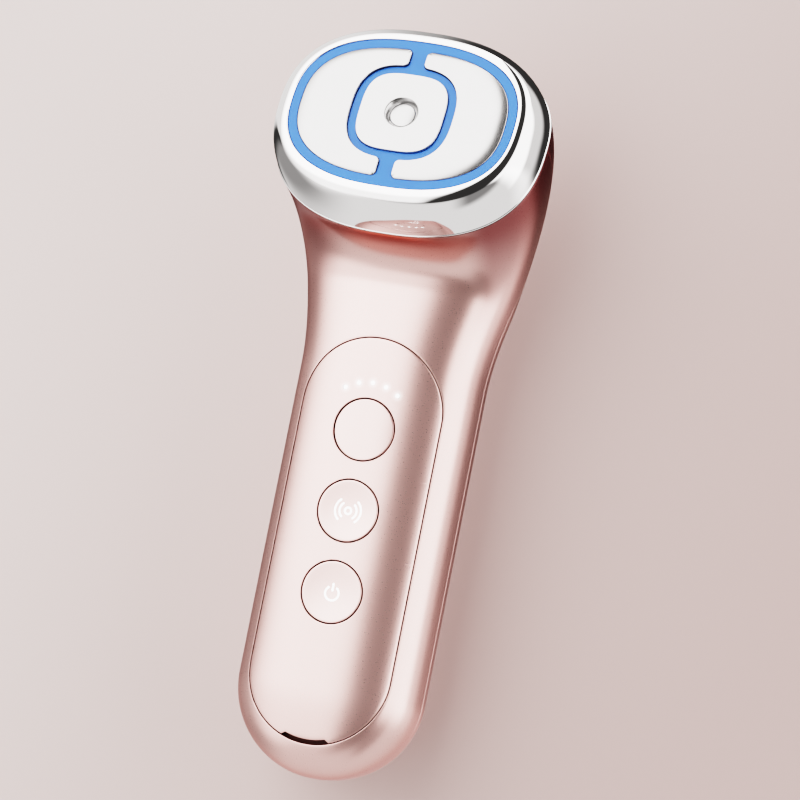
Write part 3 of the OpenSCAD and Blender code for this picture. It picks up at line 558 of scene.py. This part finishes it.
# %% Spin the buttons
DISH, LAND, BUTTON_EDGE = 0.3, 0.35, 0.18
CURVE = 1.5                              # the top button's curve, as so many times the panel's
FLANGE_R, FLANGE_T = 7.1, 0.8
FACE_T, PAINTED = 1.0, 0.5               # what follows the curve, and what is painted, from the top


def dish(r):
    """Depth of a button's dish at a radius."""
    u = min(1.0, r / (BUTTON_R - LAND))
    return DISH * (1 - u * u) ** 1.15


button_tops = {}
for name in BUTTONS:
    low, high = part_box(name + "_button")
    top = (high.z - row(0, 0, 0).z) / MM
    flange = FLANGE_T - (high.z - low.z) / MM
    dished = name != "level"
    profile = [(r, -dish(r) * dished) for r in ((BUTTON_R - LAND) * k / 20 for k in range(21))]
    profile += [(BUTTON_R - distance, -depth) for distance, depth in round_over(BUTTON_EDGE)]
    profile += [(BUTTON_R, flange), (FLANGE_R, flange)]
    profile += [(FLANGE_R, flange - FLANGE_T), (0, flange - FLANGE_T)]
    button_tops[name] = row(0, BUTTONS[name], top)
    bm = revolve(profile, button_tops[name], 144)
    for vert in bm.verts:
        if not dished and vert.co.z > row(0, 0, top - FACE_T).z:
            vert.co.z -= CURVE * (row(0, 0, FRONT) - front_point(vert.co.x / MM, HALF_W, 0)).z
    for face in bm.faces:
        face.material_index = int(face.calc_center_median().z < row(0, 0, top - PAINTED).z)
    piece(bm, name + "_button_skin", name + "_button", "rose_button", name + "_button")

# %% [markdown]
# ## Ink for the signs
# The signs are printed in white and lit from behind, so they are thin strips that lie in the dish. Each
# is a flat arc, or a bar, whose points are dropped on to the dish's curve.

# %% Lay ink on a button
INK = 0.012                              # how far the ink stands proud


def strip(bm, centre, radius, width, start, end, steps=48):
    """A flat arc of ink round a centre, with round ends."""
    def rule(column, index):
        turn = math.radians(mix(start, end, index / steps))
        r = radius + width / 2 * (1 - 2 * column / 4)
        return Vector((centre[0] + r * math.cos(turn), centre[1] + r * math.sin(turn), 0))
    grid(4, steps, rule, bm)
    if end - start < 360:
        for angle in (start, end):
            turn = math.radians(angle)
            spot = Vector((centre[0] + radius * math.cos(turn), centre[1] + radius * math.sin(turn), 0))
            disc(bm, spot, width / 2)


def disc(bm, spot, r):
    bmesh.ops.create_circle(bm, cap_ends=True, segments=20, radius=r, matrix=Matrix.Translation(spot))


def print_sign(bm, name):
    """Drops flat ink on to a button's dish."""
    for vert in bm.verts:
        height = INK - dish(math.hypot(vert.co.x, vert.co.y))
        vert.co = button_tops[name] + Vector((vert.co.x, vert.co.y, height)) * MM
    ink = piece(bm, name + "_sign", name + "_button", "clear_light")
    ink.data.materials.append(ink_light)


print("the ink is", INK, "mm thick")

# %% [markdown]
# ## Chrome bezel
# The bezel is one polished ring. It is a grid whose columns go round the oval and whose rows go round
# the wall's cross-section: over the soft rim, down the flared side, over a fine bead at its lower edge,
# and back up inside. A mirror shows every crease, so the flare starts in the direction in which the rim
# ends, as a curve drawn through two points with a given slope at each.

# %% Build the bezel
TURNS = 256
CREST, CREST_IN = 0.15, 0.25             # the rim's highest line: over the face plane, past the opening
RIM_DROP, RIM_TURN = 2.35, math.radians(58)
RIM_ROUND = (25.8, 20.1, 19.35, 0.46, 2.42)    # what the rim's round-over would reach at 90 degrees
BEAD, BEAD_TOP, LIP_END = 0.13, 9.72, 10.42
HOLLOW = 0.4                             # how much the flare draws in near its lower end


def between(a, b, t):
    return tuple(mix(p, q, t) for p, q in zip(a, b))


def rim_point(turn):
    """Outline and height of the soft rim at a turn from its crest."""
    return (between(grow(OPENING, CREST_IN), RIM_ROUND, math.sin(turn)),
            CREST - RIM_DROP * (1 - math.cos(turn)))


def flare_point(t):
    """Outline and height of the flared side at a share of its depth."""
    start, top = rim_point(RIM_TURN)
    end, depth = grow(SKIRT, -BEAD), BEAD_TOP + top
    slope = depth * math.cos(RIM_TURN) / (RIM_DROP * math.sin(RIM_TURN))
    out = [(p - q) * slope for p, q in zip(RIM_ROUND, grow(OPENING, CREST_IN))]
    blend = t * t * (3 - 2 * t)
    outline = tuple(mix(p, q, blend) + o * t * (1 - t) ** 2 - HOLLOW * (1 - t) * t * t * (n < 3)
                    for n, (p, q, o) in enumerate(zip(start, end, out)))
    return outline, top - depth * t


def head_ring(rows, columns=TURNS):
    """A ring whose rows are (outline, height) pairs in the head's frame."""
    def rule(column, index):
        outline, height = rows[index % len(rows)]
        return on_face(*outline_point(outline, column % columns / columns), height)
    return rule


rim = [rim_point(RIM_TURN * k / 16) for k in range(17)]
flare = [flare_point(k / 20) for k in range(1, 21)]
# The bead and the inside: how far in from an outline, and how deep
bead = [(grow(SKIRT, -by), -depth) for by, depth in
        ((0.03, 9.8), (0, 9.9), (0, 10.0), (0.03, 10.12), (0.1, 10.26), (0.2, 10.36), (0.34, LIP_END))]
inside = [(grow(SKIRT, -0.4), -SKIRT_DEPTH), (grow(SKIRT, -1.5), -SKIRT_DEPTH), (grow(RIM, -1.7), -2.2),
          (grow(OPENING, 1.2), -1.3), (OPENING, -1.3)]
lip = [(OPENING, -0.05), (grow(OPENING, 0.06), CREST - 0.08), (grow(OPENING, 0.15), CREST - 0.01)]
bezel_rows = lip + rim + flare + bead + inside
piece(grid(TURNS, len(bezel_rows), head_ring(bezel_rows)), "head_bezel_skin", "case",
      "chrome_bezel", "head_bezel")
for t in (0.0, 0.25, 0.5, 0.75, 1.0):
    print("flare", t, [round(part, 2) for part in flare_point(t)[0]], round(flare_point(t)[1], 2))

# %% [markdown]
# ## Electrodes
# The two crescents are halves of one oval ring, split by the insulator's links. The satin plating shows
# every ripple, so a crescent is a calm grid: columns run along it from link to link and rows run across
# it. Close to each edge the lines are packed tighter.

# %% Lay out a crescent
LINK_HALF, CORNER = 1.6, 1.0             # half the link's width, and the corners' radius
PROUD, SEAT, ROLL = 0.5, 0.9, 0.15       # over the face plane, under it, and the edges' round-over
CROWN, CROWN_IN = 0.45, 0.84             # how far the outside falls away, and where it starts
NEAR_EDGE = (0.0, 0.012, 0.035, 0.07, 0.11, 0.16, 0.23, 0.32, 0.44, 0.58, 0.73, 0.87, 1.0)
LINK_T = PAIR[1] - HOLE[1]      # a crescent's thickness at its ends
ALONG_RING = 64


def across_ring(step):
    """Share of the way from the inner to the outer edge, tight near both."""
    count = len(NEAR_EDGE)
    if step < count:
        return NEAR_EDGE[step] / LINK_T
    if step >= count + 8:
        return 1 - NEAR_EDGE[2 * count + 7 - step] / LINK_T
    return mix(1 / LINK_T, 1 - 1 / LINK_T, (step - count + 1) / 9)


def ring_point(step, column):
    """A point of the right crescent before its corners are rounded."""
    outline = between(HOLE, PAIR, across_ring(step))
    wide, half, power = outline[0], outline[1], outline[4]
    count, last = len(NEAR_EDGE), 2 * len(NEAR_EDGE) + ALONG_RING - 1
    end = min(column, last - column)
    if end < count:
        x = LINK_HALF + NEAR_EDGE[end]
        v = half * (1 - (x / wide) ** power) ** (1 / power)
        return x, -v if column < last / 2 else v
    turn = math.acos(((LINK_HALF + 1) / wide) ** (power / 2)) / math.tau
    return outline_point(outline, mix(-turn, turn, (column - count + 1) / (ALONG_RING + 1)))


print("a crescent is", round(LINK_T, 2), "mm across at its ends")

# %% [markdown]
# The grid is lifted into a lid whose face rolls over at its edges and falls away a little towards the
# outside. Its corners are pushed in to a small radius, and an extrude gives it walls.

# %% Raise the crescents
def crown(x, v):
    """How far the face falls away near the outside of the pair."""
    wide, half, power = PAIR[0], PAIR[1], PAIR[4]
    out = (abs(x / wide) ** power + abs(v / half) ** power) ** (1 / power)
    return CROWN * max(0.0, (out - CROWN_IN) / (1 - CROWN_IN)) ** 2.5


def crescent(side):
    """The lid of a crescent in the head's frame, then its walls and underside."""
    rows, columns = 2 * len(NEAR_EDGE) + 7, 2 * len(NEAR_EDGE) + ALONG_RING - 1

    def rule(column, step):
        x, v = ring_point(step, column)
        inner, outer = ring_point(0, column), ring_point(rows, column)
        to_inner, to_outer = math.dist((x, v), inner), math.dist((x, v), outer)
        edge, link = min(to_inner, to_outer), x - LINK_HALF
        height = PROUD - crown(x, v)
        depth = min(edge, link)
        if depth < ROLL:
            height -= ROLL - math.sqrt(ROLL ** 2 - (ROLL - depth) ** 2)
        if edge < CORNER and link < CORNER:
            a, b = CORNER - edge, CORNER - link
            push = 1 - max(a, b) / math.hypot(a, b) if a + b > 0 else 0
            x += b * push
            v += a * push * (-1 if to_outer < to_inner else 1) * math.copysign(1, v)
        return Vector((side * x, v, height))

    bm = grid(columns, rows, rule)
    lid = bmesh.ops.extrude_face_region(bm, geom=bm.faces[:], use_keep_orig=True)["geom"]
    for vert in (g for g in lid if isinstance(g, bmesh.types.BMVert)):
        vert.co.z = -SEAT
    for face in bm.faces:
        face.normal_update()
        face.material_index = int(abs(face.normal.z) < 0.3)    # the sides take a darker finish: painted shade for the dark line along the edges
    return bm


def on_head(bm):
    """Moves a piece from the head's own frame, in millimetres, to its place."""
    for vert in bm.verts:
        vert.co = on_face(*vert.co)
    return bm


for name, side in (("left", -1), ("right", 1)):
    piece(on_head(crescent(side)), name + "_electrode_skin", "case", "satin_electrode", name + "_electrode")

# %% [markdown]
# ## Centre electrode and sensor disc
# The centre plate is a rounded square with a shallow cone pressed into it. Its rows blend from the
# square's outline to the cone's circle, and the flat disc of the temperature sensor sits at the bottom.

# %% Build the centre electrode
CONE_R, CONE_DEPTH, DISC_R, DISC_TOP = 3.25, 1.2, 2.5, -0.68
CONE_ROLL, ROLL_DROP = 0.25, 0.12        # the soft edge of the cone
DISC_GAP, DISC_T = 0.04, 0.2


def circle(r):
    return (r, r, r, 0.0, 2.0)


under = [(circle(DISC_R + DISC_GAP), -SEAT), (CENTRE, -SEAT)]
over = [(grow(CENTRE, -distance), PROUD - depth) for distance, depth in reversed(round_over(ROLL, 6))]
flat = [(between(grow(CENTRE, -ROLL), circle(CONE_R + CONE_ROLL), k / 8), PROUD) for k in range(1, 9)]
cone = [(circle(CONE_R + CONE_ROLL * (1 - s)), PROUD - ROLL_DROP * s * s) for s in (0.35, 0.7, 1.0)]
cone += [(circle(mix(CONE_R, DISC_R + 0.06, s)), mix(PROUD - ROLL_DROP, PROUD - CONE_DEPTH, s))
         for s in (0.5, 1.0)]
cone += [(circle(DISC_R + DISC_GAP), PROUD - CONE_DEPTH - 0.05)]
centre_rows = under + over + flat + cone
piece(grid(TURNS, len(centre_rows), head_ring(centre_rows)), "centre_electrode_skin", "case",
      "satin_electrode", "centre_electrode")
disc_profile = [(0, 0), (DISC_R - 0.12, 0), (DISC_R - 0.03, -0.03), (DISC_R, -0.12)]
disc_profile += [(DISC_R, -DISC_T), (0, -DISC_T)]
piece(revolve(disc_profile, on_face(0, 0, DISC_TOP), 96, (0, math.sin(TILT), math.cos(TILT))),
      "sensor_disc_skin", "case", "satin_electrode", "sensor_disc")

# %% [markdown]
# ## Finishes
# Every finish is a Principled shader. The constants are set straight on it, and only what changes over
# the surface is linked. A small class lets sums on sockets be written as plain Python.

# %% Write shader sums in Python
class Wire:
    """A socket of a shader tree that can be used in sums."""

    def __init__(self, tree, socket):
        self.tree, self.socket = tree, socket

    def node(self, kind, sockets=(), out=0, **settings):
        """Any node: its settings first, then the values or wires of its sockets."""
        made = self.tree.nodes.new("ShaderNode" + kind)
        for name, value in settings.items():
            if name == "stops":
                ramp = made.color_ramp
                while len(ramp.elements) < len(value):
                    ramp.elements.new(0.5)
                for element, (place, colour) in zip(ramp.elements, value):
                    element.position, element.color = place, (*colour, 1)
            else:
                setattr(made, name, value)
        for name, value in dict(sockets).items():
            if isinstance(value, Wire):
                self.tree.links.new(value.socket, made.inputs[name])
            else:
                made.inputs[name].default_value = value
        return Wire(self.tree, made.outputs[out])

    def sum(self, operation, *parts):
        return self.node("Math", dict(enumerate((self, *parts))), operation=operation)

    def __add__(self, other):
        return self.sum("ADD", other)

    def __radd__(self, other):
        return self + other

    def __sub__(self, other):
        return self.sum("SUBTRACT", other)

    def __rsub__(self, other):
        return self * -1 + other

    def __mul__(self, other):
        return self.sum("MULTIPLY", other)

    def __rmul__(self, other):
        return self * other

    def __truediv__(self, other):
        return self.sum("DIVIDE", other)

    def __pow__(self, other):
        return self.sum("POWER", other)

    def fade(self, start, end):
        """0 at start and 1 at end, with soft shoulders."""
        return self.node("MapRange", {"Value": self, "From Min": start, "From Max": end}, clamp=True,
                         interpolation_type="SMOOTHSTEP")

    def mix(self, a, b):
        """Colour a where this is 0, colour b where it is 1."""
        a, b = (c if isinstance(c, Wire) else (*c, 1) for c in (a, b))
        return self.node("Mix", {0: self, 6: a, 7: b}, out=2, data_type="RGBA")


print("the shader class is ready")

# %% [markdown]
# A finish starts as Blender's own Principled shader. Grain and bump are used by nearly all of them, so each
# is a function. Their sizes are given in grains to a millimetre and in millimetres.

# %% Start a finish
def material(name, vary=None, **constants):
    """A finish: constants go on the shader, and vary(place) returns what is linked."""
    made = bpy.data.materials.new(name)
    made.use_nodes = True
    tree = made.node_tree
    shader = tree.nodes["Principled BSDF"]
    for key, value in constants.items():
        shader.inputs[key.replace("_", " ").title().replace("Ior", "IOR")].default_value = value
    place = Wire(tree, tree.nodes.new("ShaderNodeTexCoord").outputs["Object"])
    for key, wire in (vary(place) if vary else {}).items():
        tree.links.new(wire.socket, shader.inputs[key])
    return made


def grain(place, per_mm, detail=2.0):
    """Fine noise with so many grains to a millimetre."""
    return place.node("TexNoise", {"Vector": place, "Scale": per_mm * 1000, "Detail": detail}, out=0)


def bump(place, height, depth_mm):
    return place.node("Bump", {"Height": height, "Distance": depth_mm * MM, "Strength": 1.0})


def vector_sum(operation, a, b=None, out=0):
    """A sum on vectors; out is 1 where the answer is a number."""
    parts = {0: a} if b is None else {0: a, 1: tuple(b)}
    return a.node("VectorMath", parts, out=out, operation=operation)


print("finishes can be mixed")

# %% [markdown]
# ## Rose lacquer
# The case is moulded plastic under a fine metallic lacquer. Tiny flakes give a grain that shows where the
# reflections are dark. On the neck, light and shade are painted into the lacquer's colour: a painted warm
# reflection right under the bezel, and painted shade below the bezel that is deepest at the neck's sides.
# Both are mixed in by place: a soft ball under the bezel, and depth below the head's face.

# %% Mix the rose lacquer
ROSE = (0.84, 0.54, 0.505)
ROSE_BUTTON = (0.86, 0.57, 0.535)
# Painted shade for the neck under the bezel, and a painted warm reflection just under it
ROSE_PAINTED_SHADE = (0.25, 0.11, 0.11)
TERRACOTTA_PAINTED_REFLECTION = (0.53, 0.10, 0.045)
EDGE_TINT = (0.60, 0.30, 0.28, 1)        # how the lacquer reflects at a glancing angle
HEAD_AXIS = (0, math.sin(TILT), math.cos(TILT))
FACE_DEPTH = on_face(0, 0, 0).dot(Vector(HEAD_AXIS))
PAINTED_REFLECTION_SPOT = on_face(1.5, -24.2, -SKIRT_DEPTH - 0.3)
PAINTED_REFLECTION_FADE = (60, 150, 150)          # how fast the painted warm reflection fades, along each axis
LEFT_SIDE, RIGHT_SIDE = (-0.009, -0.018), (0.014, 0.02)    # where the sides start, and are full, in metres
PAINTED_SHADE_FROM, PAINTED_SHADE_FULL, PAINTED_SHADE_SIDE = 0.024, 0.012, 0.018      # where the painted shade starts and is full, below the face; at the sides it reaches further down


def neck_painted_shade_and_reflection(place, base):
    """Paints shade on the neck below the bezel, deepest at its sides, and paints a warm reflection right
    under the bezel.
    """
    away = vector_sum("LENGTH", vector_sum("MULTIPLY", vector_sum("SUBTRACT", place, PAINTED_REFLECTION_SPOT),
                                           PAINTED_REFLECTION_FADE), out=1)
    depth = vector_sum("DOT_PRODUCT", place, HEAD_AXIS, out=1)
    x = place.node("SeparateXYZ", {0: place})
    side = x.fade(*LEFT_SIDE) + x.fade(*RIGHT_SIDE)
    # Painted shade: darker close below the head's face, at half strength in the middle of the neck
    neck_shade_mask = depth.fade(side * -PAINTED_SHADE_SIDE + (FACE_DEPTH - PAINTED_SHADE_FROM), FACE_DEPTH - PAINTED_SHADE_FULL)
    base = (neck_shade_mask * (side * 0.5 + 0.5)).mix(base, ROSE_PAINTED_SHADE)
    # Painted warm reflection, strongest at its spot under the bezel
    return away.fade(1.0, 0.0).mix(base, TERRACOTTA_PAINTED_REFLECTION)


def lacquer(tone, with_painted_neck_light=False):
    """Metallic lacquer; the function that it returns says what varies over the surface."""
    def vary(place):
        flakes = grain(place, 4.5, 1.0)
        clouds = grain(place, 0.05, 1.0)
        dark = tuple(c * 0.93 for c in tone)
        base = (flakes * 0.6 + clouds * 0.4).mix(dark, tone)
        # The neck's base colour takes painted shade and a painted warm reflection
        if with_painted_neck_light:
            base = neck_painted_shade_and_reflection(place, base)
        return {"Base Color": base, "Roughness": flakes * 0.08 + 0.25,
                "Normal": bump(place, flakes, 0.00018)}
    return vary


def unpainted_plastic(place):
    """The red-brown plastic under the lacquer, seen only in the gaps."""
    texture = grain(place, 4, 2.0)
    return {"Base Color": texture.mix((0.055, 0.016, 0.013), (0.085, 0.026, 0.021)),
            "Roughness": texture * 0.15 + 0.5}


glossy = {"metallic": 0.83, "specular_tint": EDGE_TINT, "coat_weight": 0.15, "coat_roughness": 0.12}
rose_case = material("rose_lacquer", lacquer(ROSE, with_painted_neck_light=True), **glossy)
rose_button = material("rose_button_lacquer", lacquer(ROSE_BUTTON), **glossy)
gap_plastic = material("unpainted_plastic", unpainted_plastic)
# Where the painted warm reflection is centred
print("warm tone under the bezel at", [round(c, 4) for c in PAINTED_REFLECTION_SPOT])

# %% [markdown]
# ## Lit panel
# Five small lights shine through the panel, in an arc over the top button. The lacquer round each one glows a
# little, so the panel's finish adds soft halos of emission to the case's lacquer.

# %% Place the lights and mix the panel's lacquer
LIGHT_R, LIGHT_ARC, LIGHT_STEP = 0.42, 9.6, 17.5    # a light's radius, the arc's, and degrees between lights
HALO = 1.8 * MM
light_spots = []
for k in range(-2, 3):
    turn = math.radians(90 - k * LIGHT_STEP)
    light_spots.append((LIGHT_ARC * math.cos(turn), BUTTONS["level"] + LIGHT_ARC * math.sin(turn)))


def lit_lacquer(tone):
    """The panel's lacquer with a soft halo of light round each level light."""
    def vary(place):
        offsets = (vector_sum("SUBTRACT", place, front_point(x, y, 0)) for x, y in light_spots)
        halo = sum(vector_sum("LENGTH", offset, out=1).fade(HALO, 0.0) ** 2 for offset in offsets)
        return {**lacquer(tone)(place), "Emission Color": halo.mix((0, 0, 0), (1, 1, 1))}
    return vary


rose_panel = material("rose_panel_lacquer", lit_lacquer(ROSE), emission_strength=1.0, **glossy)
print("lights at", [(round(x, 2), round(y, 2)) for x, y in light_spots])

# %% [markdown]
# ## Chrome, satin metal and blue plastic
# The bezel is bright chrome, so its finish is nearly a mirror with very faint handling haze. The electrodes
# are satin plated on top, and their sides are darker: painted shade that draws the dark line at their edges.
# The insulator is a smooth blue plastic with a soft sheen.

# %% Mix the head's finishes
def polished(place):
    haze = grain(place, 0.08, 3.0)
    return {"Roughness": haze * 0.04 + 0.03}


def satin(place):
    flecks = grain(place, 7, 2.0)
    clouds = grain(place, 0.12, 2.0)
    return {"Base Color": clouds.mix((0.45, 0.45, 0.45), (0.50, 0.50, 0.50)),
            "Roughness": flecks * 0.06 + 0.19, "Normal": bump(place, flecks, 0.0006)}


def blue_plastic(place):
    clouds = grain(place, 0.2, 2.0)
    texture = grain(place, 6, 2.0)
    return {"Base Color": clouds.mix((0.010, 0.12, 0.56), (0.014, 0.15, 0.64)),
            "Roughness": texture * 0.12 + 0.34, "Normal": bump(place, texture, 0.002)}


# Painted shade: the electrodes' sides are dark so that their edges show a dark line
def shaded_side_paint(place):
    flecks = grain(place, 5, 2.0)
    return {"Base Color": flecks.mix((0.10, 0.10, 0.11), (0.16, 0.16, 0.17)),
            "Roughness": flecks * 0.1 + 0.3}


chrome = material("bright_chrome", polished, base_color=(0.93, 0.93, 0.93, 1), metallic=1.0)
satin_metal = material("satin_plating", satin, metallic=0.9)
shaded_side_metal = material("unplated_side", shaded_side_paint, metallic=0.8)
blue = material("blue_insulator_plastic", blue_plastic)
print("head finishes:", chrome.name, satin_metal.name, shaded_side_metal.name, blue.name)

# %% [markdown]
# ## Inner finishes
# The pieces inside are seen through the charging port and when the model is taken apart, so each gets
# its own simple finish.

# %% Mix the inner finishes
def mottled(dark, light, per_mm, rough, depth=0.0):
    def vary(place):
        texture = grain(place, per_mm)
        out = {"Base Color": texture.mix(dark, light), "Roughness": texture * 0.15 + rough}
        if depth:
            out["Normal"] = bump(place, texture, depth)
        return out
    return vary


def grey(shade):
    return (shade, shade, shade)


# Dark and light tone, grains to a millimetre, roughness and, where it shows, depth of the grain
recipes = {
    "inner_plastic": ("grey_moulded_plastic", (0.30, 0.30, 0.31), (0.36, 0.36, 0.37), 3, 0.45, 0.01),
    "board": ("circuit_board", (0.008, 0.09, 0.035), (0.012, 0.13, 0.05), 2, 0.3),
    "black_component": ("black_component", (0.012, 0.012, 0.014), (0.02, 0.02, 0.022), 4, 0.4, 0.004),
    "steel_part": ("plain_steel", (0.52, 0.52, 0.53), (0.62, 0.62, 0.63), 1.5, 0.25),
    "cell_wrap": ("cell_wrap", (0.03, 0.10, 0.34), (0.04, 0.12, 0.40), 1, 0.3),
    "brass_part": ("plain_brass", (0.62, 0.43, 0.16), (0.74, 0.53, 0.22), 1.5, 0.25),
    "rubber_part": ("soft_rubber", grey(0.02), grey(0.035), 5, 0.65, 0.006),
    "cable": ("flat_cable", (0.55, 0.22, 0.03), (0.65, 0.28, 0.05), 2, 0.35),
    "clear_light": ("light_diffuser", grey(0.80), grey(0.88), 2, 0.3),
}
METALS = ("steel_part", "brass_part")
inner = {slot: material(name, mottled(*tones), metallic=float(slot in METALS))
         for slot, (name, *tones) in recipes.items()}
ink_light = material("lit_ink", mottled(grey(0.9), grey(1.0), 3, 0.4),
                     emission_color=(1, 1, 1, 1), emission_strength=3.0)
outer = {"rose_case": rose_case, "rose_panel": rose_panel, "rose_button": rose_button,
         "chrome_bezel": chrome, "satin_electrode": satin_metal, "blue_insulator": blue}
finishes = {**outer, **inner}
print(len(finishes), "finishes")

# %% [markdown]
# ## Lights and signs
# The middle button has a ring with waves on both sides, and the lowest one a power sign. They and the five
# lights over the top button are white and lit from behind.

# %% Print the signs and set the lights
STROKE = 0.37
bm = bmesh.new()
strip(bm, (0, 0), 0.66, 0.38, 0, 360)
for side in (0, 180):
    for r in (1.78, 2.70):
        strip(bm, (0, 0), r, STROKE, side - 48, side + 48, 24)
print_sign(bm, "mode")

bm = bmesh.new()
strip(bm, (0.05, -0.25), 1.42, STROKE, 90 + 38, 450 - 38)
strip(bm, (1000.05, 0.35), 1000, 0.38, 179.925, 180.0, 6)    # a bar is an arc of a very large circle
print_sign(bm, "power")

for k, (x, y) in enumerate(light_spots):
    bm = bmesh.new()
    disc(bm, Vector((x, y, 0)), LIGHT_R)
    for vert in bm.verts:
        vert.co = front_point(vert.co.x, vert.co.y, -INK)
    piece(bm, f"level_light_{k + 1}", "case", "clear_light").data.materials.append(ink_light)

# %% [markdown]
# ## Finishes on the pieces
# Every CAD node that still shows takes the finish of its slot in the record, and so does every new piece.
# Faces that were marked while a piece was built take a second finish: unpainted plastic in the gaps, and on
# the electrodes' sides a dark finish that is painted shade.

# %% Give every piece its finish
slots = {part["node"]: part["material_slot"] for part in frame["record"]["subparts"]}
for name, node in frame["nodes"].items():
    node.data.materials.clear()
    node.data.materials.append(finishes[slots[name]])
for made in bpy.data.objects:
    if made.type == "MESH" and made.get("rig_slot") and not made.data.materials:
        made.data.materials.append(finishes[made["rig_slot"]])
        if any(face.material_index for face in made.data.polygons):
            made.data.materials.append(shaded_side_metal if made["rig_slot"] == "satin_electrode" else gap_plastic)
print("finished", len(slots), "nodes")

# %% [markdown]
# ## Floor
# The device lies on a pale floor whose colour is pinker and darker towards the lower right; the darkening is
# painted shade. Reflections don't show it, so that the lacquer and the chrome mirror the studio alone, and
# part of its tone is its own faint light.

# %% Lay the floor
FLOOR_HALF = 3.0                         # metres
bm = bmesh.new()
bmesh.ops.create_grid(bm, x_segments=1, y_segments=1, size=FLOOR_HALF)
floor = bpy.data.objects.new("floor", bpy.data.meshes.new("floor"))
bm.to_mesh(floor.data)
bm.free()
bpy.context.scene.collection.objects.link(floor)
floor.visible_glossy = False


def floor_tone_and_painted_shade(place):
    """Pale beige at the upper left, pinker and darker towards the lower right: the darkening is painted
    shade.
    """
    # Painted shade: the floor's colour darkens towards the lower right
    slope = place.node("VectorMath", {0: place, 1: (1.0, -0.45, 0)}, out=1, operation="DOT_PRODUCT")
    return slope.fade(-0.14, 0.12).mix((0.50, 0.425, 0.41), (0.32, 0.24, 0.228))


def floor_finish(place):
    """The floor's own light keeps the shadow beside the device soft."""
    tone = floor_tone_and_painted_shade(place)
    return {"Base Color": tone, "Emission Color": tone}


floor.data.materials.append(material("pale_floor", floor_finish, roughness=0.9, emission_strength=0.45))
print("floor half width:", FLOOR_HALF, "m")

# %% [markdown]
# Seen level with the floor, a pale backdrop closes the view. It is a wide tube that only the camera sees,
# so it takes no light away from the device.

# %% Stand the backdrop
BACKDROP_R, BACKDROP_H = 2.9, 4.0        # metres
bm = bmesh.new()
bmesh.ops.create_cone(bm, segments=128, radius1=BACKDROP_R, radius2=BACKDROP_R, depth=BACKDROP_H)
backdrop = bpy.data.objects.new("backdrop", bpy.data.meshes.new("backdrop"))
bm.to_mesh(backdrop.data)
bm.free()
bpy.context.scene.collection.objects.link(backdrop)
backdrop.visible_glossy = backdrop.visible_diffuse = backdrop.visible_shadow = False
backdrop.data.materials.append(material("pale_backdrop", base_color=(0, 0, 0, 1), roughness=1.0,
                                        emission_color=(0.50, 0.44, 0.425, 1), emission_strength=1.6))
print("backdrop", BACKDROP_H, "m high")

# %% [markdown]
# ## Studio light
# All of the light comes from the world, as a quiet studio: a big soft box on the left, a narrower one on the
# right, a dark gap between them that draws the dark line in the lacquer, and two dimmer walls, one low in
# front and one far behind. Each is a product of soft bands. Angles go round the handle's axis, in degrees
# from straight up towards the right, and the rest are parts of the direction's length.

# %% Set the studio light
LEFT_LOW, LEFT_HIGH = 1.9, 4.0           # strength of the left box towards the foot, and towards the head
RIGHT_TOP, RIGHT_LOW = 2.2, 0.7          # of the right box: its upper part on top of its lower part
LOW_WALL, FAR_WALL, AMBIENT = 0.8, 0.9, 0.055
LIGHT_TINT = (1.0, 0.965, 0.95, 1)

world = bpy.data.worlds.new("studio")
bpy.context.scene.world = world
world.use_nodes = True
tree = world.node_tree
direction = Wire(tree, tree.nodes.new("ShaderNodeTexCoord").outputs["Generated"])
x, y, z = (direction.node("SeparateXYZ", {0: direction}, out=n) for n in range(3))
across = x.sum("ARCTAN2", z) * (180 / math.pi)

left_box = across.fade(-94, -36) * (1 - across.fade(-8, 3)) * y.fade(-0.85, -0.6)
left_box *= y.fade(-0.15, 0.2) * (LEFT_HIGH - LEFT_LOW) + LEFT_LOW
right_box = across.fade(46, 58) * ((1 - across.fade(112, 122)) * RIGHT_TOP + RIGHT_LOW)
right_box *= (1 - across.fade(140, 155)) * y.fade(-0.42, -0.06)
low_wall = (1 - y.fade(-0.12, 0.05)) * (1 - z.fade(0.45, 0.65)) * (x.fade(-0.8, -0.35) * 0.75 + 0.25)
low_wall *= 1 - z.fade(0.0, 0.25) * x.fade(0.25, 0.55) * 0.8
far_wall = (1 - across.fade(-90, -75)) * y.fade(0.1, 0.18) * (1 - x.fade(-0.5, -0.15))
sky = left_box + right_box + low_wall * LOW_WALL + far_wall * FAR_WALL + AMBIENT
tree.nodes["Background"].inputs["Color"].default_value = LIGHT_TINT
tree.links.new(sky.socket, tree.nodes["Background"].inputs["Strength"])
print("the studio has", len(tree.nodes), "nodes")
